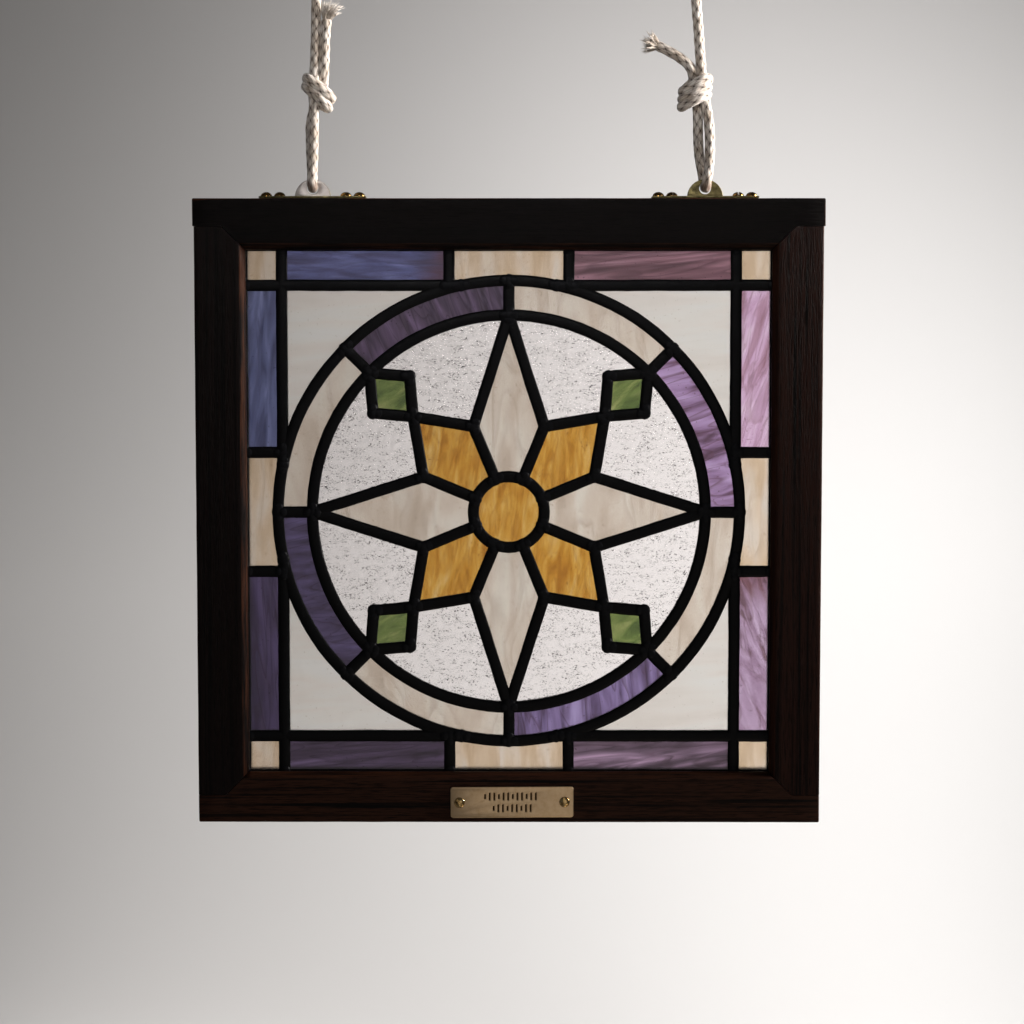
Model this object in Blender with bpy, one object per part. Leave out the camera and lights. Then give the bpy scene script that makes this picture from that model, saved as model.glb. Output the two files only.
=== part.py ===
# A leaded glass panel in a dark stained oak frame, hung on two knotted cotton cords.
# Metres, +Z up, and the front faces -Y. The origin lies midway between the two cord eyes,
# at the height of the hooks that they hang on.

import math

import bmesh
import bpy
from mathutils import Matrix, Vector

# Leaded panel, 12 inches wide and as high, of quarter inch lead came
PANEL_WIDTH = 0.3048
CAME_WIDTH = 0.00635
CAME_HEART = 0.0012
CAME_FLANGE = 0.0008
GLASS_THICKNESS = 0.003
GAP = 0.0003

# Border, ring and star, all measured to the middle of the leads
BORDER_WIDTH = 0.0254
CENTRE_PANE_HALF = 0.0335
RING_OVERRUN = 0.0028
RING_WIDTH = 0.0193
RING_JOINTS = 8
STAR_CENTRE_RADIUS = 0.020
STAR_SHOULDER_RADIUS = 0.052
STAR_SHORT_TIP_RADIUS = 0.076
LOZENGE_HALF_WIDTH = 0.0145
STAR_EIGHTH = math.radians(45)
RING_STEP = math.radians(9)
CENTRE_STEP = math.radians(15)

# Wood frame
MEMBER_WIDTH = 0.0284
FRAME_DEPTH = 0.022
FRONT_LIP = 0.006
SIGHT_OVERLAP = 0.0058
REBATE_CLEARANCE = 0.0005
CHAMFER_WIDTH = 0.0029
CHAMFER_DEPTH = 0.0025
BUTT_WIDTH = 0.0155
TOP_RAIL_OVERHANG = 0.0008
BEAD_WIDTH = 0.006
BEAD_DEPTH = 0.007

# Title plate on the bottom rail
PLATE_WIDTH = 0.0695
PLATE_HEIGHT = 0.0178
PLATE_THICKNESS = 0.001
PLATE_CORNER = 0.0018
PLATE_CORNER_STEPS = 4
PLATE_TILT = math.radians(0.4)
PLATE_RISE = 0.0117
PLATE_SHIFT = 0.0018
PLATE_SCREW_SPACING = 0.0592
PLATE_SCREW_HEAD = 0.006
PLATE_SCREW_HEIGHT = 0.0013
STROKE_HEIGHT = 0.0042
STROKE_WIDTH = 0.0007
STROKE_PITCH = 0.0026
STROKE_DEPTH = 0.00025
SHORT_STROKE = 0.6
STROKE_ROWS = ((0.0304, -0.0009, 0.0033), (0.0219, 0.0, -0.0034))

# Hangers on the top rail
HANGER_INSET = 0.0655
STRAP_LENGTH = 0.0595
STRAP_WIDTH = 0.011
STRAP_THICKNESS = 0.0012
EYE_RADIUS = 0.010
EYE_RISE = 0.001
EYE_THICKNESS = 0.0014
EYE_HOLE_DIAMETER = 0.0066
EYE_HOLE_RISE = 0.006
EYE_STEPS = 14
STRAP_SCREWS = (0.0185, 0.026)
STRAP_SCREW_HEAD = 0.0065
STRAP_SCREW_HEIGHT = 0.0025
SCREW_SINK = 0.25
SCREW_SIDES = 10
SCREW_RINGS = 4

# Cords, with points measured from the hanger's middle on top of the frame
CORD_DIAMETER = 0.005
CORD_STEPS = 2
CORD_RESOLUTION = 2
HANG_DROP = 0.1635
LEFT_STRAND = (
    (0.0052, 0.0, 0.134), (0.0048, 0.0, 0.120), (0.0043, 0.0, 0.107), (0.0036, 0.0, 0.093),
    (0.0029, -0.0002, 0.079), (0.0022, -0.0008, 0.067), (0.0022, -0.0020, 0.055),
    (0.0024, -0.0028, 0.044), (0.0022, -0.0029, 0.032), (0.0014, -0.0032, 0.020),
    (0.0002, -0.0039, 0.0102), (0.0, -0.00276, 0.0074), (0.0, 0.0, 0.0062),
    (0.0, 0.00276, 0.0074), (-0.0002, 0.0039, 0.0102), (-0.0002, 0.0032, 0.020),
    (-0.0002, 0.0029, 0.032), (0.0002, 0.0028, 0.044), (0.0030, 0.0020, 0.055),
)
LEFT_TAIL = (
    (0.0070, 0.0006, 0.058), (0.0078, 0.0002, 0.068), (0.0089, 0.0, 0.079), (0.0094, 0.0, 0.089),
    (0.0112, -0.0004, 0.0975),
)
RIGHT_STRAND = (
    (-0.0056, 0.0, 0.134), (-0.0053, 0.0, 0.120), (-0.0048, 0.0, 0.108), (-0.0034, 0.0, 0.094),
    (-0.0023, -0.0002, 0.080), (-0.0016, -0.0008, 0.068), (-0.0004, -0.0012, 0.056),
    (0.0010, -0.0012, 0.046), (0.0015, -0.0007, 0.035), (0.0018, -0.0012, 0.025),
    (0.0016, -0.0026, 0.017), (0.0008, -0.0039, 0.0102), (0.0004, -0.00276, 0.0074),
    (0.0002, 0.0, 0.0062), (0.0, 0.00276, 0.0074), (-0.0004, 0.0039, 0.0102),
    (-0.0018, 0.0028, 0.017), (-0.0032, 0.0012, 0.025), (-0.0040, 0.0006, 0.035),
    (-0.0040, 0.0008, 0.046), (-0.0044, 0.0012, 0.056),
)
RIGHT_TAIL = (
    (-0.0052, 0.0, 0.060), (-0.0078, -0.0008, 0.0712), (-0.0129, -0.0010, 0.0768),
    (-0.0205, -0.0006, 0.0816), (-0.0290, 0.0, 0.0856),
)
EYE_LOOP = (
    (0.0, -0.0006, 0.132), (0.0052, -0.0004, 0.145), (0.0076, 0.0, 0.155), (0.0056, 0.0, 0.1632),
    (0.0, 0.0, 0.166), (-0.0056, 0.0, 0.1632), (-0.0076, 0.0, 0.155), (-0.0052, 0.0004, 0.145),
    (0.0, 0.0006, 0.132),
)
EYE_TAIL = ((0.003, 0.002, 0.130), (0.0054, 0.0022, 0.122), (0.0058, 0.0024, 0.1155))
KNOT_SIZE = (0.0196, 0.017, 0.022)
EYE_KNOT_SIZE = (0.018, 0.016, 0.020)
EYE_KNOT_HEIGHT = 0.1315
LEFT_KNOT = (0.0056, 0.0, 0.0572)
RIGHT_KNOT = (-0.0054, 0.0, 0.0572)
KNOT_SIDES = 12
KNOT_RINGS = 6

# Worked out from the sizes above
PANEL_HALF = PANEL_WIDTH / 2
CAME_THICKNESS = GLASS_THICKNESS + 2 * GAP + 2 * CAME_FLANGE
EDGE_LINE = PANEL_HALF - CAME_WIDTH / 2
BORDER_LINE = PANEL_HALF - BORDER_WIDTH
RING_OUTER = BORDER_LINE + RING_OVERRUN
RING_INNER = RING_OUTER - RING_WIDTH
SIGHT_HALF = PANEL_HALF - SIGHT_OVERLAP
REBATE_HALF = PANEL_HALF + REBATE_CLEARANCE
FRAME_HALF = SIGHT_HALF + MEMBER_WIDTH
HANGER_SPACING = 2 * (FRAME_HALF - HANGER_INSET)
FRAME_FRONT = -FRAME_DEPTH / 2
PANEL_Y = FRAME_FRONT + FRONT_LIP + GAP + CAME_THICKNESS / 2
BEAD_Y = PANEL_Y + CAME_THICKNESS / 2 + GAP + BEAD_DEPTH / 2
FRAME_TOP = -HANG_DROP
CENTRE_Z = FRAME_TOP - FRAME_HALF
STRAP_TOP = FRAME_TOP + GAP + STRAP_THICKNESS
OVERSHOOT = 0.002
WELD_DISTANCE = 0.00001
FLAT_ANGLE = 0.0005
STEP_TOLERANCE = 0.001

# Colours in linear light, with roughness and metallic value
WOOD = ((0.012, 0.0065, 0.0055), 0.55, 0.0)
BEAD_WOOD = ((0.02, 0.011, 0.008), 0.6, 0.0)
LEAD = ((0.006, 0.0065, 0.009), 0.42, 0.6)
BRASS = ((0.42, 0.29, 0.10), 0.35, 1.0)
COTTON = ((0.66, 0.58, 0.47), 0.9, 0.0)
CREAM = ((0.70, 0.60, 0.42), 0.25, 0.0)
OPAL = ((0.72, 0.69, 0.63), 0.25, 0.0)
AMBER = ((0.65, 0.33, 0.04), 0.2, 0.0)
GREEN = ((0.10, 0.20, 0.05), 0.2, 0.0)
CLEAR = ((0.80, 0.78, 0.77), 0.15, 0.0)
BLUE_LILAC = ((0.09, 0.09, 0.24), 0.2, 0.0)
LILAC = ((0.40, 0.28, 0.45), 0.2, 0.0)
VIOLET = ((0.11, 0.07, 0.14), 0.2, 0.0)
MAUVE = ((0.25, 0.14, 0.20), 0.2, 0.0)


def clear_scene():
    for thing in list(bpy.data.objects):
        bpy.data.objects.remove(thing, do_unlink=True)


def new_collection(name):
    group = bpy.data.collections.new(name)
    bpy.context.scene.collection.children.link(group)
    return group


def material(name, look):
    colour, roughness, metallic = look
    made = bpy.data.materials.new(name)
    made.use_nodes = True
    shader = made.node_tree.nodes["Principled BSDF"]
    shader.inputs["Base Color"].default_value = (*colour, 1)
    shader.inputs["Roughness"].default_value = roughness
    shader.inputs["Metallic"].default_value = metallic
    return made


def mesh_object(name, bm, look, group):
    data = bpy.data.meshes.new(name)
    bmesh.ops.recalc_face_normals(bm, faces=bm.faces)
    bm.to_mesh(data)
    bm.free()
    made = bpy.data.objects.new(name, data)
    group.objects.link(made)
    data.materials.append(material(name, look))
    return made


def flat_outline(name, outlines, thickness, look, group):
    # Outlines lie in the X-Z plane of the panel, and the first may hold the others as holes.
    data = bpy.data.curves.new(name, "CURVE")
    data.dimensions = "2D"
    data.fill_mode = "BOTH"
    data.extrude = thickness / 2
    for outline in outlines:
        spline = data.splines.new("POLY")
        spline.points.add(len(outline) - 1)
        for point, (x, z) in zip(spline.points, outline):
            point.co = (x, z, 0, 1)
        spline.use_cyclic_u = True
    made = bpy.data.objects.new(name, data)
    made.rotation_euler = (math.pi / 2, 0, 0)
    group.objects.link(made)
    data.materials.append(material(name, look))
    return made


def as_mesh(thing):
    # A curve's caps are loose, so they are welded here and each flat side becomes one face.
    bpy.context.view_layer.update()
    seen = thing.evaluated_get(bpy.context.evaluated_depsgraph_get())
    data = bpy.data.meshes.new_from_object(seen)
    bm = bmesh.new()
    bm.from_mesh(data)
    bmesh.ops.remove_doubles(bm, verts=bm.verts, dist=WELD_DISTANCE)
    bmesh.ops.dissolve_limit(bm, angle_limit=FLAT_ANGLE, verts=bm.verts, edges=bm.edges)
    bmesh.ops.recalc_face_normals(bm, faces=bm.faces)
    bm.to_mesh(data)
    bm.free()
    made = bpy.data.objects.new(thing.name + "_mesh", data)
    made.matrix_world = thing.matrix_world.copy()
    thing.users_collection[0].objects.link(made)
    name = thing.name
    bpy.data.objects.remove(thing, do_unlink=True)
    made.name = name
    return made


def combine(thing, tool, operation):
    step = thing.modifiers.new(operation.lower(), "BOOLEAN")
    step.operation = operation
    step.object = tool
    step.solver = "EXACT"
    tool.hide_render = True
    tool.display_type = "WIRE"


def box(name, size, place, look, group):
    bm = bmesh.new()
    bmesh.ops.create_cube(bm, size=1)
    bmesh.ops.scale(bm, vec=size, verts=bm.verts)
    made = mesh_object(name, bm, look, group)
    made.location = place
    return made


def round_head(name, diameter, height, place, axis, look, group):
    # A screw's round head is a low dome whose foot sinks a little into what it clamps.
    bm = bmesh.new()
    bmesh.ops.create_uvsphere(
        bm, u_segments=SCREW_SIDES, v_segments=SCREW_RINGS, radius=diameter / 2
    )
    bmesh.ops.scale(bm, vec=(1, 1, 2 * height / diameter), verts=bm.verts)
    floor = (0, 0, -SCREW_SINK * height)
    cut = bmesh.ops.bisect_plane(
        bm, geom=bm.verts[:] + bm.edges[:] + bm.faces[:], plane_co=floor, plane_no=(0, 0, -1),
        clear_outer=True,
    )
    rim = [edge for edge in cut["geom_cut"] if isinstance(edge, bmesh.types.BMEdge)]
    bmesh.ops.holes_fill(bm, edges=rim, sides=0)
    made = mesh_object(name, bm, look, group)
    made.rotation_euler = Vector(axis).to_track_quat("Z", "Y").to_euler()
    made.location = place
    return made


# A pane is bounded by leads that are straight or round. A straight one is a point and a direction
# with the pane on its left, and a round one is a radius about the panel's middle with the pane
# outside (+1) or inside (-1) it. Moving each lead towards the pane gives the pane's smaller outlines.


def straight(start, end):
    return ("straight", Vector(start), (Vector(end) - Vector(start)).normalized())


def ring_arc(radius, side, step=RING_STEP):
    return ("round", radius, side, step)


def polar(radius, angle):
    return Vector((radius * math.cos(angle), radius * math.sin(angle)))


def moved(lead, inset):
    if lead[0] == "round":
        return ("round", lead[1] + lead[2] * inset, lead[2], lead[3])
    across = Vector((-lead[2].y, lead[2].x))
    return ("straight", lead[1] + across * inset, lead[2])


def crossing(first, second, near):
    # Where two leads cross, or the crossing that is nearer to the given corner
    if first[0] == "round":
        first, second = second, first
    point, along = first[1], first[2]
    if second[0] == "straight":
        turn = along.cross(second[2])
        return point + along * ((second[1] - point).cross(second[2]) / turn)
    middle = -point.dot(along)
    reach = math.sqrt(max(second[1] ** 2 - (point + along * middle).length_squared, 0))
    ends = [point + along * (middle + way * reach) for way in (-1, 1)]
    return min(ends, key=lambda end: (end - near).length)


def outline(pane, inset):
    # Corners run counterclockwise, and corner k lies between lead k-1 and lead k.
    leads = [moved(lead, inset) for lead in pane["leads"]]
    corners = [
        crossing(leads[k - 1], leads[k], corner) for k, corner in enumerate(pane["corners"])
    ]
    points = []
    for k, lead in enumerate(leads):
        start, end = corners[k], corners[(k + 1) % len(corners)]
        points.append(start)
        if lead[0] == "round":
            points += arc_between(start, end, lead[1], lead[3])
    return [(point.x, point.y) for point in points]


def arc_between(start, end, radius, step):
    first = math.atan2(start.y, start.x)
    turn = (math.atan2(end.y, end.x) - first + math.pi) % (2 * math.pi) - math.pi
    count = max(1, math.ceil(abs(turn) / step - STEP_TOLERANCE))
    return [polar(radius, first + turn * k / count) for k in range(1, count)]


def pane(corners, arcs, look):
    # arcs maps the number of a side to the round lead that bounds it.
    corners = [Vector(corner) for corner in corners]
    leads = [
        arcs.get(k) or straight(corner, corners[(k + 1) % len(corners)])
        for k, corner in enumerate(corners)
    ]
    return {"corners": corners, "leads": leads, "look": look}


def turned(shape, quarter_turns):
    spin = Matrix.Rotation(quarter_turns * math.pi / 2, 2)
    leads = [
        lead if lead[0] == "round" else ("straight", spin @ lead[1], spin @ lead[2])
        for lead in shape["leads"]
    ]
    corners = [spin @ corner for corner in shape["corners"]]
    return {**shape, "corners": corners, "leads": leads}


def rectangle(left, right, low, high, look):
    return pane(((left, low), (right, low), (right, high), (left, high)), {}, look)


def border_panes():
    # Each side's pieces are laid out for the top side and turned a quarter turn at a time.
    sides = ("top", "left", "bottom", "right")
    strips = {
        "top": (BLUE_LILAC, MAUVE),
        "left": (VIOLET, BLUE_LILAC),
        "bottom": (MAUVE, VIOLET),
        "right": (LILAC, LILAC),
    }
    reach = math.sqrt(RING_OUTER**2 - BORDER_LINE**2)
    half = CENTRE_PANE_HALF
    found = {}
    for k, side in enumerate(sides):
        before, after = strips[side]
        bands = (BORDER_LINE, EDGE_LINE)
        parts = {
            f"strip_{side}_a": rectangle(-BORDER_LINE, -half, *bands, before),
            f"strip_{side}_b": rectangle(half, BORDER_LINE, *bands, after),
            f"corner_pane_{k + 1}": rectangle(*bands, *bands, CREAM),
            f"centre_pane_{side}": pane(
                (
                    (-half, BORDER_LINE), (-reach, BORDER_LINE), (reach, BORDER_LINE),
                    (half, BORDER_LINE), (half, EDGE_LINE), (-half, EDGE_LINE),
                ),
                {1: ring_arc(RING_OUTER, 1)},
                CREAM,
            ),
            f"spandrel_{k + 1}": pane(
                ((reach, BORDER_LINE), (BORDER_LINE, reach), (BORDER_LINE, BORDER_LINE)),
                {0: ring_arc(RING_OUTER, 1)},
                OPAL,
            ),
        }
        found |= {name: turned(part, k) for name, part in parts.items()}
    return found


def ring_panes():
    colours = (LILAC, CREAM, VIOLET, CREAM, VIOLET, CREAM, LILAC, CREAM)
    found = {}
    sweep = 2 * math.pi / RING_JOINTS
    for k in range(RING_JOINTS):
        first, last = k * sweep, (k + 1) * sweep
        found[f"ring_pane_{k + 1}"] = pane(
            (
                polar(RING_INNER, first), polar(RING_OUTER, first),
                polar(RING_OUTER, last), polar(RING_INNER, last),
            ),
            {1: ring_arc(RING_OUTER, -1), 3: ring_arc(RING_INNER, 1)},
            colours[k % len(colours)],
        )
    return found


def star_panes():
    # An eight-pointed compass star, four points reaching the ring and four ending in a lozenge
    half = STAR_EIGHTH / 2
    found = {}
    for k in range(4):
        long_angle = k * 2 * STAR_EIGHTH
        short_angle = long_angle + STAR_EIGHTH
        low, high = (polar(STAR_SHOULDER_RADIUS, short_angle + way * half) for way in (-1, 1))
        tip = polar(STAR_SHORT_TIP_RADIUS, short_angle)
        outer = polar(RING_INNER, short_angle)
        across = polar(LOZENGE_HALF_WIDTH, short_angle + math.pi / 2)
        middle = (tip + outer) / 2
        found[f"star_long_point_{k + 1}"] = star_point(long_angle, RING_INNER, CREAM)
        found[f"star_short_point_{k + 1}"] = star_point(short_angle, STAR_SHORT_TIP_RADIUS, AMBER)
        found[f"star_lozenge_{k + 1}"] = pane(
            (tip, middle - across, outer, middle + across), {}, GREEN
        )
        found[f"star_ground_{2 * k + 1}"] = pane(
            (low, polar(RING_INNER, long_angle), outer, middle - across, tip),
            {1: ring_arc(RING_INNER, -1)},
            CLEAR,
        )
        found[f"star_ground_{2 * k + 2}"] = pane(
            (high, tip, middle + across, outer, polar(RING_INNER, long_angle + 2 * STAR_EIGHTH)),
            {3: ring_arc(RING_INNER, -1)},
            CLEAR,
        )
    return found


def star_point(angle, tip_radius, look):
    half = STAR_EIGHTH / 2
    return pane(
        (
            polar(STAR_CENTRE_RADIUS, angle - half), polar(STAR_SHOULDER_RADIUS, angle - half),
            polar(tip_radius, angle), polar(STAR_SHOULDER_RADIUS, angle + half),
            polar(STAR_CENTRE_RADIUS, angle + half),
        ),
        {4: ring_arc(STAR_CENTRE_RADIUS, 1, CENTRE_STEP)},
        look,
    )


def centre_outline(inset):
    count = round(2 * math.pi / CENTRE_STEP)
    radius = STAR_CENTRE_RADIUS - inset
    return [tuple(polar(radius, CENTRE_STEP * (k + 0.5))) for k in range(count)]


def square(half):
    return [(-half, -half), (half, -half), (half, half), (-half, half)]


def put_in_panel(thing):
    thing.location = (0, PANEL_Y, CENTRE_Z)


def make_glass(panes, group):
    inset = CAME_HEART / 2 + GAP
    shapes = {name: (outline(shape, inset), shape["look"]) for name, shape in panes.items()}
    shapes["star_centre"] = (centre_outline(inset), AMBER)
    for name, (points, look) in shapes.items():
        put_in_panel(flat_outline(name, [points], GLASS_THICKNESS, look, group))


def make_came(panes, group, cutters):
    # A plate of lead is opened at each pane, first to what shows between the flanges, and then
    # between the flanges to the narrow hearts that the glass meets.
    came = box(
        "lead_came", (PANEL_WIDTH, CAME_THICKNESS, PANEL_WIDTH), (0, PANEL_Y, CENTRE_Z), LEAD, group
    )
    openings = (
        ("sight_openings", CAME_WIDTH / 2, CAME_THICKNESS + 2 * OVERSHOOT),
        ("glass_channels", CAME_HEART / 2, CAME_THICKNESS - 2 * CAME_FLANGE),
    )
    for name, inset, thickness in openings:
        holes = [outline(shape, inset) for shape in panes.values()] + [centre_outline(inset)]
        holes = flat_outline(name, holes, thickness, LEAD, cutters)
        put_in_panel(holes)
        combine(came, as_mesh(holes), "DIFFERENCE")


def make_frame(group, cutters):
    depth = FRAME_DEPTH
    rebate_depth = depth - FRONT_LIP
    rebate = box(
        "rebate", (2 * REBATE_HALF, rebate_depth + OVERSHOOT, 2 * REBATE_HALF),
        (0, FRAME_FRONT + FRONT_LIP + (rebate_depth + OVERSHOOT) / 2, CENTRE_Z), WOOD, cutters,
    )
    chamfer = chamfer_cutter(cutters)
    slant = GAP / math.sqrt(2)
    inner, outer = SIGHT_HALF, FRAME_HALF
    mitre = outer - BUTT_WIDTH
    top_half = outer + TOP_RAIL_OVERHANG
    for name, sign, reach in (("frame_top_rail", 1, top_half), ("frame_bottom_rail", -1, outer)):
        low = mitre + GAP / 2
        half_rail = [(reach, outer), (reach, low), (low - slant, low), (inner - slant, inner)]
        points = [(x, sign * z) for x, z in half_rail]
        points += [(-x, sign * z) for x, z in reversed(half_rail)]
        member(name, points, rebate, chamfer, group)
    for name, sign in (("frame_left_stile", -1), ("frame_right_stile", 1)):
        high = mitre - GAP / 2
        half_stile = [(outer, high), (high + slant, high), (inner, inner - slant)]
        points = [(sign * x, z) for x, z in half_stile]
        points += [(sign * x, -z) for x, z in reversed(half_stile)]
        member(name, points, rebate, chamfer, group)


def member(name, points, rebate, chamfer, group):
    # Drawn as one face and pulled to the frame's depth, because several corners lie in a line.
    bm = bmesh.new()
    face = bm.faces.new([bm.verts.new((x, FRAME_FRONT, z)) for x, z in points])
    pulled = bmesh.ops.extrude_face_region(bm, geom=[face])
    moving = [v for v in pulled["geom"] if isinstance(v, bmesh.types.BMVert)]
    bmesh.ops.translate(bm, verts=moving, vec=(0, FRAME_DEPTH, 0))
    wood = mesh_object(name, bm, WOOD, group)
    wood.location = (0, 0, CENTRE_Z)
    combine(wood, rebate, "DIFFERENCE")
    combine(wood, chamfer, "DIFFERENCE")


def chamfer_cutter(cutters):
    # A square frustum that opens towards the front and cuts the sloping inner edge
    steps = (
        (SIGHT_HALF, CHAMFER_DEPTH),
        (SIGHT_HALF + CHAMFER_WIDTH * (1 + OVERSHOOT / CHAMFER_DEPTH), -OVERSHOOT),
    )
    (deep_half, deep), (wide_half, shallow) = steps
    bm = bmesh.new()
    bmesh.ops.create_cone(
        bm, cap_ends=True, segments=4, radius1=wide_half * math.sqrt(2),
        radius2=deep_half * math.sqrt(2), depth=deep - shallow,
    )
    bmesh.ops.rotate(bm, verts=bm.verts, matrix=Matrix.Rotation(math.pi / 4, 3, "Z"))
    bmesh.ops.rotate(bm, verts=bm.verts, matrix=Matrix.Rotation(-math.pi / 2, 3, "X"))
    made = mesh_object("chamfer", bm, WOOD, cutters)
    made.location = (0, FRAME_FRONT + (deep + shallow) / 2, CENTRE_Z)
    return made


def make_beads(group):
    outer = REBATE_HALF - GAP
    beads = flat_outline(
        "glazing_beads", [square(outer), square(outer - BEAD_WIDTH)], BEAD_DEPTH, BEAD_WOOD, group
    )
    beads.location = (0, BEAD_Y, CENTRE_Z)


def rounded_rectangle(width, height, radius, steps):
    points = []
    for k, (sx, sz) in enumerate(((1, 1), (-1, 1), (-1, -1), (1, -1))):
        middle = Vector((sx * (width / 2 - radius), sz * (height / 2 - radius)))
        for j in range(steps + 1):
            points.append(tuple(middle + polar(radius, (k + j / steps) * math.pi / 2)))
    return points


def make_plate(group, cutters):
    front = FRAME_FRONT - GAP - PLATE_THICKNESS
    place = Vector((PLATE_SHIFT, front + PLATE_THICKNESS / 2, CENTRE_Z - FRAME_HALF + PLATE_RISE))
    tilt = Matrix.Rotation(-PLATE_TILT, 4, "Y")
    shape = rounded_rectangle(PLATE_WIDTH, PLATE_HEIGHT, PLATE_CORNER, PLATE_CORNER_STEPS)
    plate = flat_outline("title_plate", [shape], PLATE_THICKNESS, BRASS, group)
    plate.rotation_euler = (math.pi / 2, 0, 0)
    plate.matrix_world = Matrix.Translation(place) @ tilt @ plate.matrix_basis
    plate = as_mesh(plate)
    for number, sign in enumerate((-1, 1)):
        spot = tilt @ Vector((sign * PLATE_SCREW_SPACING / 2, -PLATE_THICKNESS / 2, 0))
        head = round_head(
            f"plate_screw_{number}", PLATE_SCREW_HEAD, PLATE_SCREW_HEIGHT, place + spot,
            (0, -1, 0), BRASS, cutters,
        )
        combine(plate, head, "UNION")
    for row, (length, shift, rise) in enumerate(STROKE_ROWS):
        for k, x in enumerate(stroke_places(length, shift)):
            height = STROKE_HEIGHT * (1 if k % 3 else SHORT_STROKE)
            spot = tilt @ Vector((x, -PLATE_THICKNESS / 2, rise))
            size = (STROKE_WIDTH, 2 * STROKE_DEPTH, height)
            stroke = box(f"stroke_{row}_{k}", size, place + spot, BRASS, cutters)
            combine(plate, stroke, "DIFFERENCE")


def stroke_places(length, shift):
    count = int(length / STROKE_PITCH) + 1
    first = shift - (count - 1) * STROKE_PITCH / 2
    return [first + k * STROKE_PITCH for k in range(count)]


def make_hanger(name, x, group, cutters):
    strap = box(
        name, (STRAP_LENGTH, STRAP_WIDTH, STRAP_THICKNESS),
        (x, 0, STRAP_TOP - STRAP_THICKNESS / 2), BRASS, group,
    )
    foot = GAP - EYE_RISE + STRAP_THICKNESS / 2
    lean = math.asin(foot / EYE_RADIUS)
    sweep = math.pi - 2 * lean
    shape = [
        polar(EYE_RADIUS, lean + sweep * k / EYE_STEPS) + Vector((0, EYE_RISE))
        for k in range(EYE_STEPS + 1)
    ]
    hole = [
        polar(EYE_HOLE_DIAMETER / 2, 2 * math.pi * k / EYE_STEPS) + Vector((0, EYE_HOLE_RISE))
        for k in range(EYE_STEPS)
    ]
    eye = flat_outline(f"{name}_eye", [shape, hole], EYE_THICKNESS, BRASS, cutters)
    eye.location = (x, 0, FRAME_TOP)
    combine(strap, as_mesh(eye), "UNION")
    for number, offset in enumerate(sign * side for side in STRAP_SCREWS for sign in (-1, 1)):
        head = round_head(
            f"{name}_screw_{number}", STRAP_SCREW_HEAD, STRAP_SCREW_HEIGHT,
            (x + offset, 0, STRAP_TOP), (0, 0, 1), BRASS, cutters,
        )
        combine(strap, head, "UNION")


def smooth_line(points, steps):
    # A Catmull-Rom curve through the points, with the ends repeated
    points = [Vector(p) for p in points]
    line = []
    padded = [points[0], *points, points[-1]]
    for a, b, c, d in zip(padded, padded[1:], padded[2:], padded[3:]):
        for k in range(steps):
            t = k / steps
            line.append(
                0.5 * (2 * b + (c - a) * t + (2 * a - 5 * b + 4 * c - d) * t * t
                       + (3 * b - 3 * c + d - a) * t * t * t)
            )
    return [*line, points[-1]]


def tube(name, points, x, group):
    data = bpy.data.curves.new(name, "CURVE")
    data.dimensions = "3D"
    data.bevel_depth = CORD_DIAMETER / 2
    data.bevel_resolution = CORD_RESOLUTION
    data.use_fill_caps = True
    line = smooth_line(points, CORD_STEPS)
    spline = data.splines.new("POLY")
    spline.points.add(len(line) - 1)
    for point, place in zip(spline.points, line):
        point.co = (*place, 1)
    made = bpy.data.objects.new(name, data)
    made.location = (x, 0, FRAME_TOP)
    group.objects.link(made)
    data.materials.append(material(name, COTTON))
    return made


def knot(name, size, place, group):
    bm = bmesh.new()
    bmesh.ops.create_uvsphere(bm, u_segments=KNOT_SIDES, v_segments=KNOT_RINGS, radius=0.5)
    bmesh.ops.scale(bm, vec=size, verts=bm.verts)
    made = mesh_object(name, bm, COTTON, group)
    made.location = place
    return made


def make_cord(name, x, strand, tail, knot_place, group, cutters):
    # One length of cord: it runs from its eye through the hanger and back up to the lower knot.
    cord = as_mesh(tube(name, strand, x, group))
    top = strand[0][0]
    offset = Vector((x, 0, FRAME_TOP))
    knots = {
        "lower_knot": (KNOT_SIZE, Vector(knot_place)),
        "upper_knot": (EYE_KNOT_SIZE, Vector((top, 0, EYE_KNOT_HEIGHT))),
    }
    for part, (size, place) in knots.items():
        combine(cord, knot(f"{name}_{part}", size, offset + place, cutters), "UNION")
    runs = {
        "end": [(top + px, py, pz) for px, py, pz in EYE_TAIL],
        "loop": [(top + px, py, pz) for px, py, pz in EYE_LOOP],
        "tail": tail,
    }
    for part, points in runs.items():
        combine(cord, as_mesh(tube(f"{name}_{part}", points, x, cutters)), "UNION")


def main():
    clear_scene()
    group = new_collection("Leaded glass panel")
    cutters = new_collection("Cutters")
    panes = border_panes() | ring_panes() | star_panes()
    make_glass(panes, group)
    make_came(panes, group, cutters)
    make_frame(group, cutters)
    make_beads(group)
    make_plate(group, cutters)
    for side, sign in (("left", -1), ("right", 1)):
        make_hanger(f"{side}_hanger", sign * HANGER_SPACING / 2, group, cutters)
    left_x, right_x = -HANGER_SPACING / 2, HANGER_SPACING / 2
    make_cord("left_cord", left_x, LEFT_STRAND, LEFT_TAIL, LEFT_KNOT, group, cutters)
    make_cord("right_cord", right_x, RIGHT_STRAND, RIGHT_TAIL, RIGHT_KNOT, group, cutters)


main()
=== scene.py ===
import math
import random

import bmesh
import bpy
from mathutils import Matrix, Vector, noise


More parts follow.
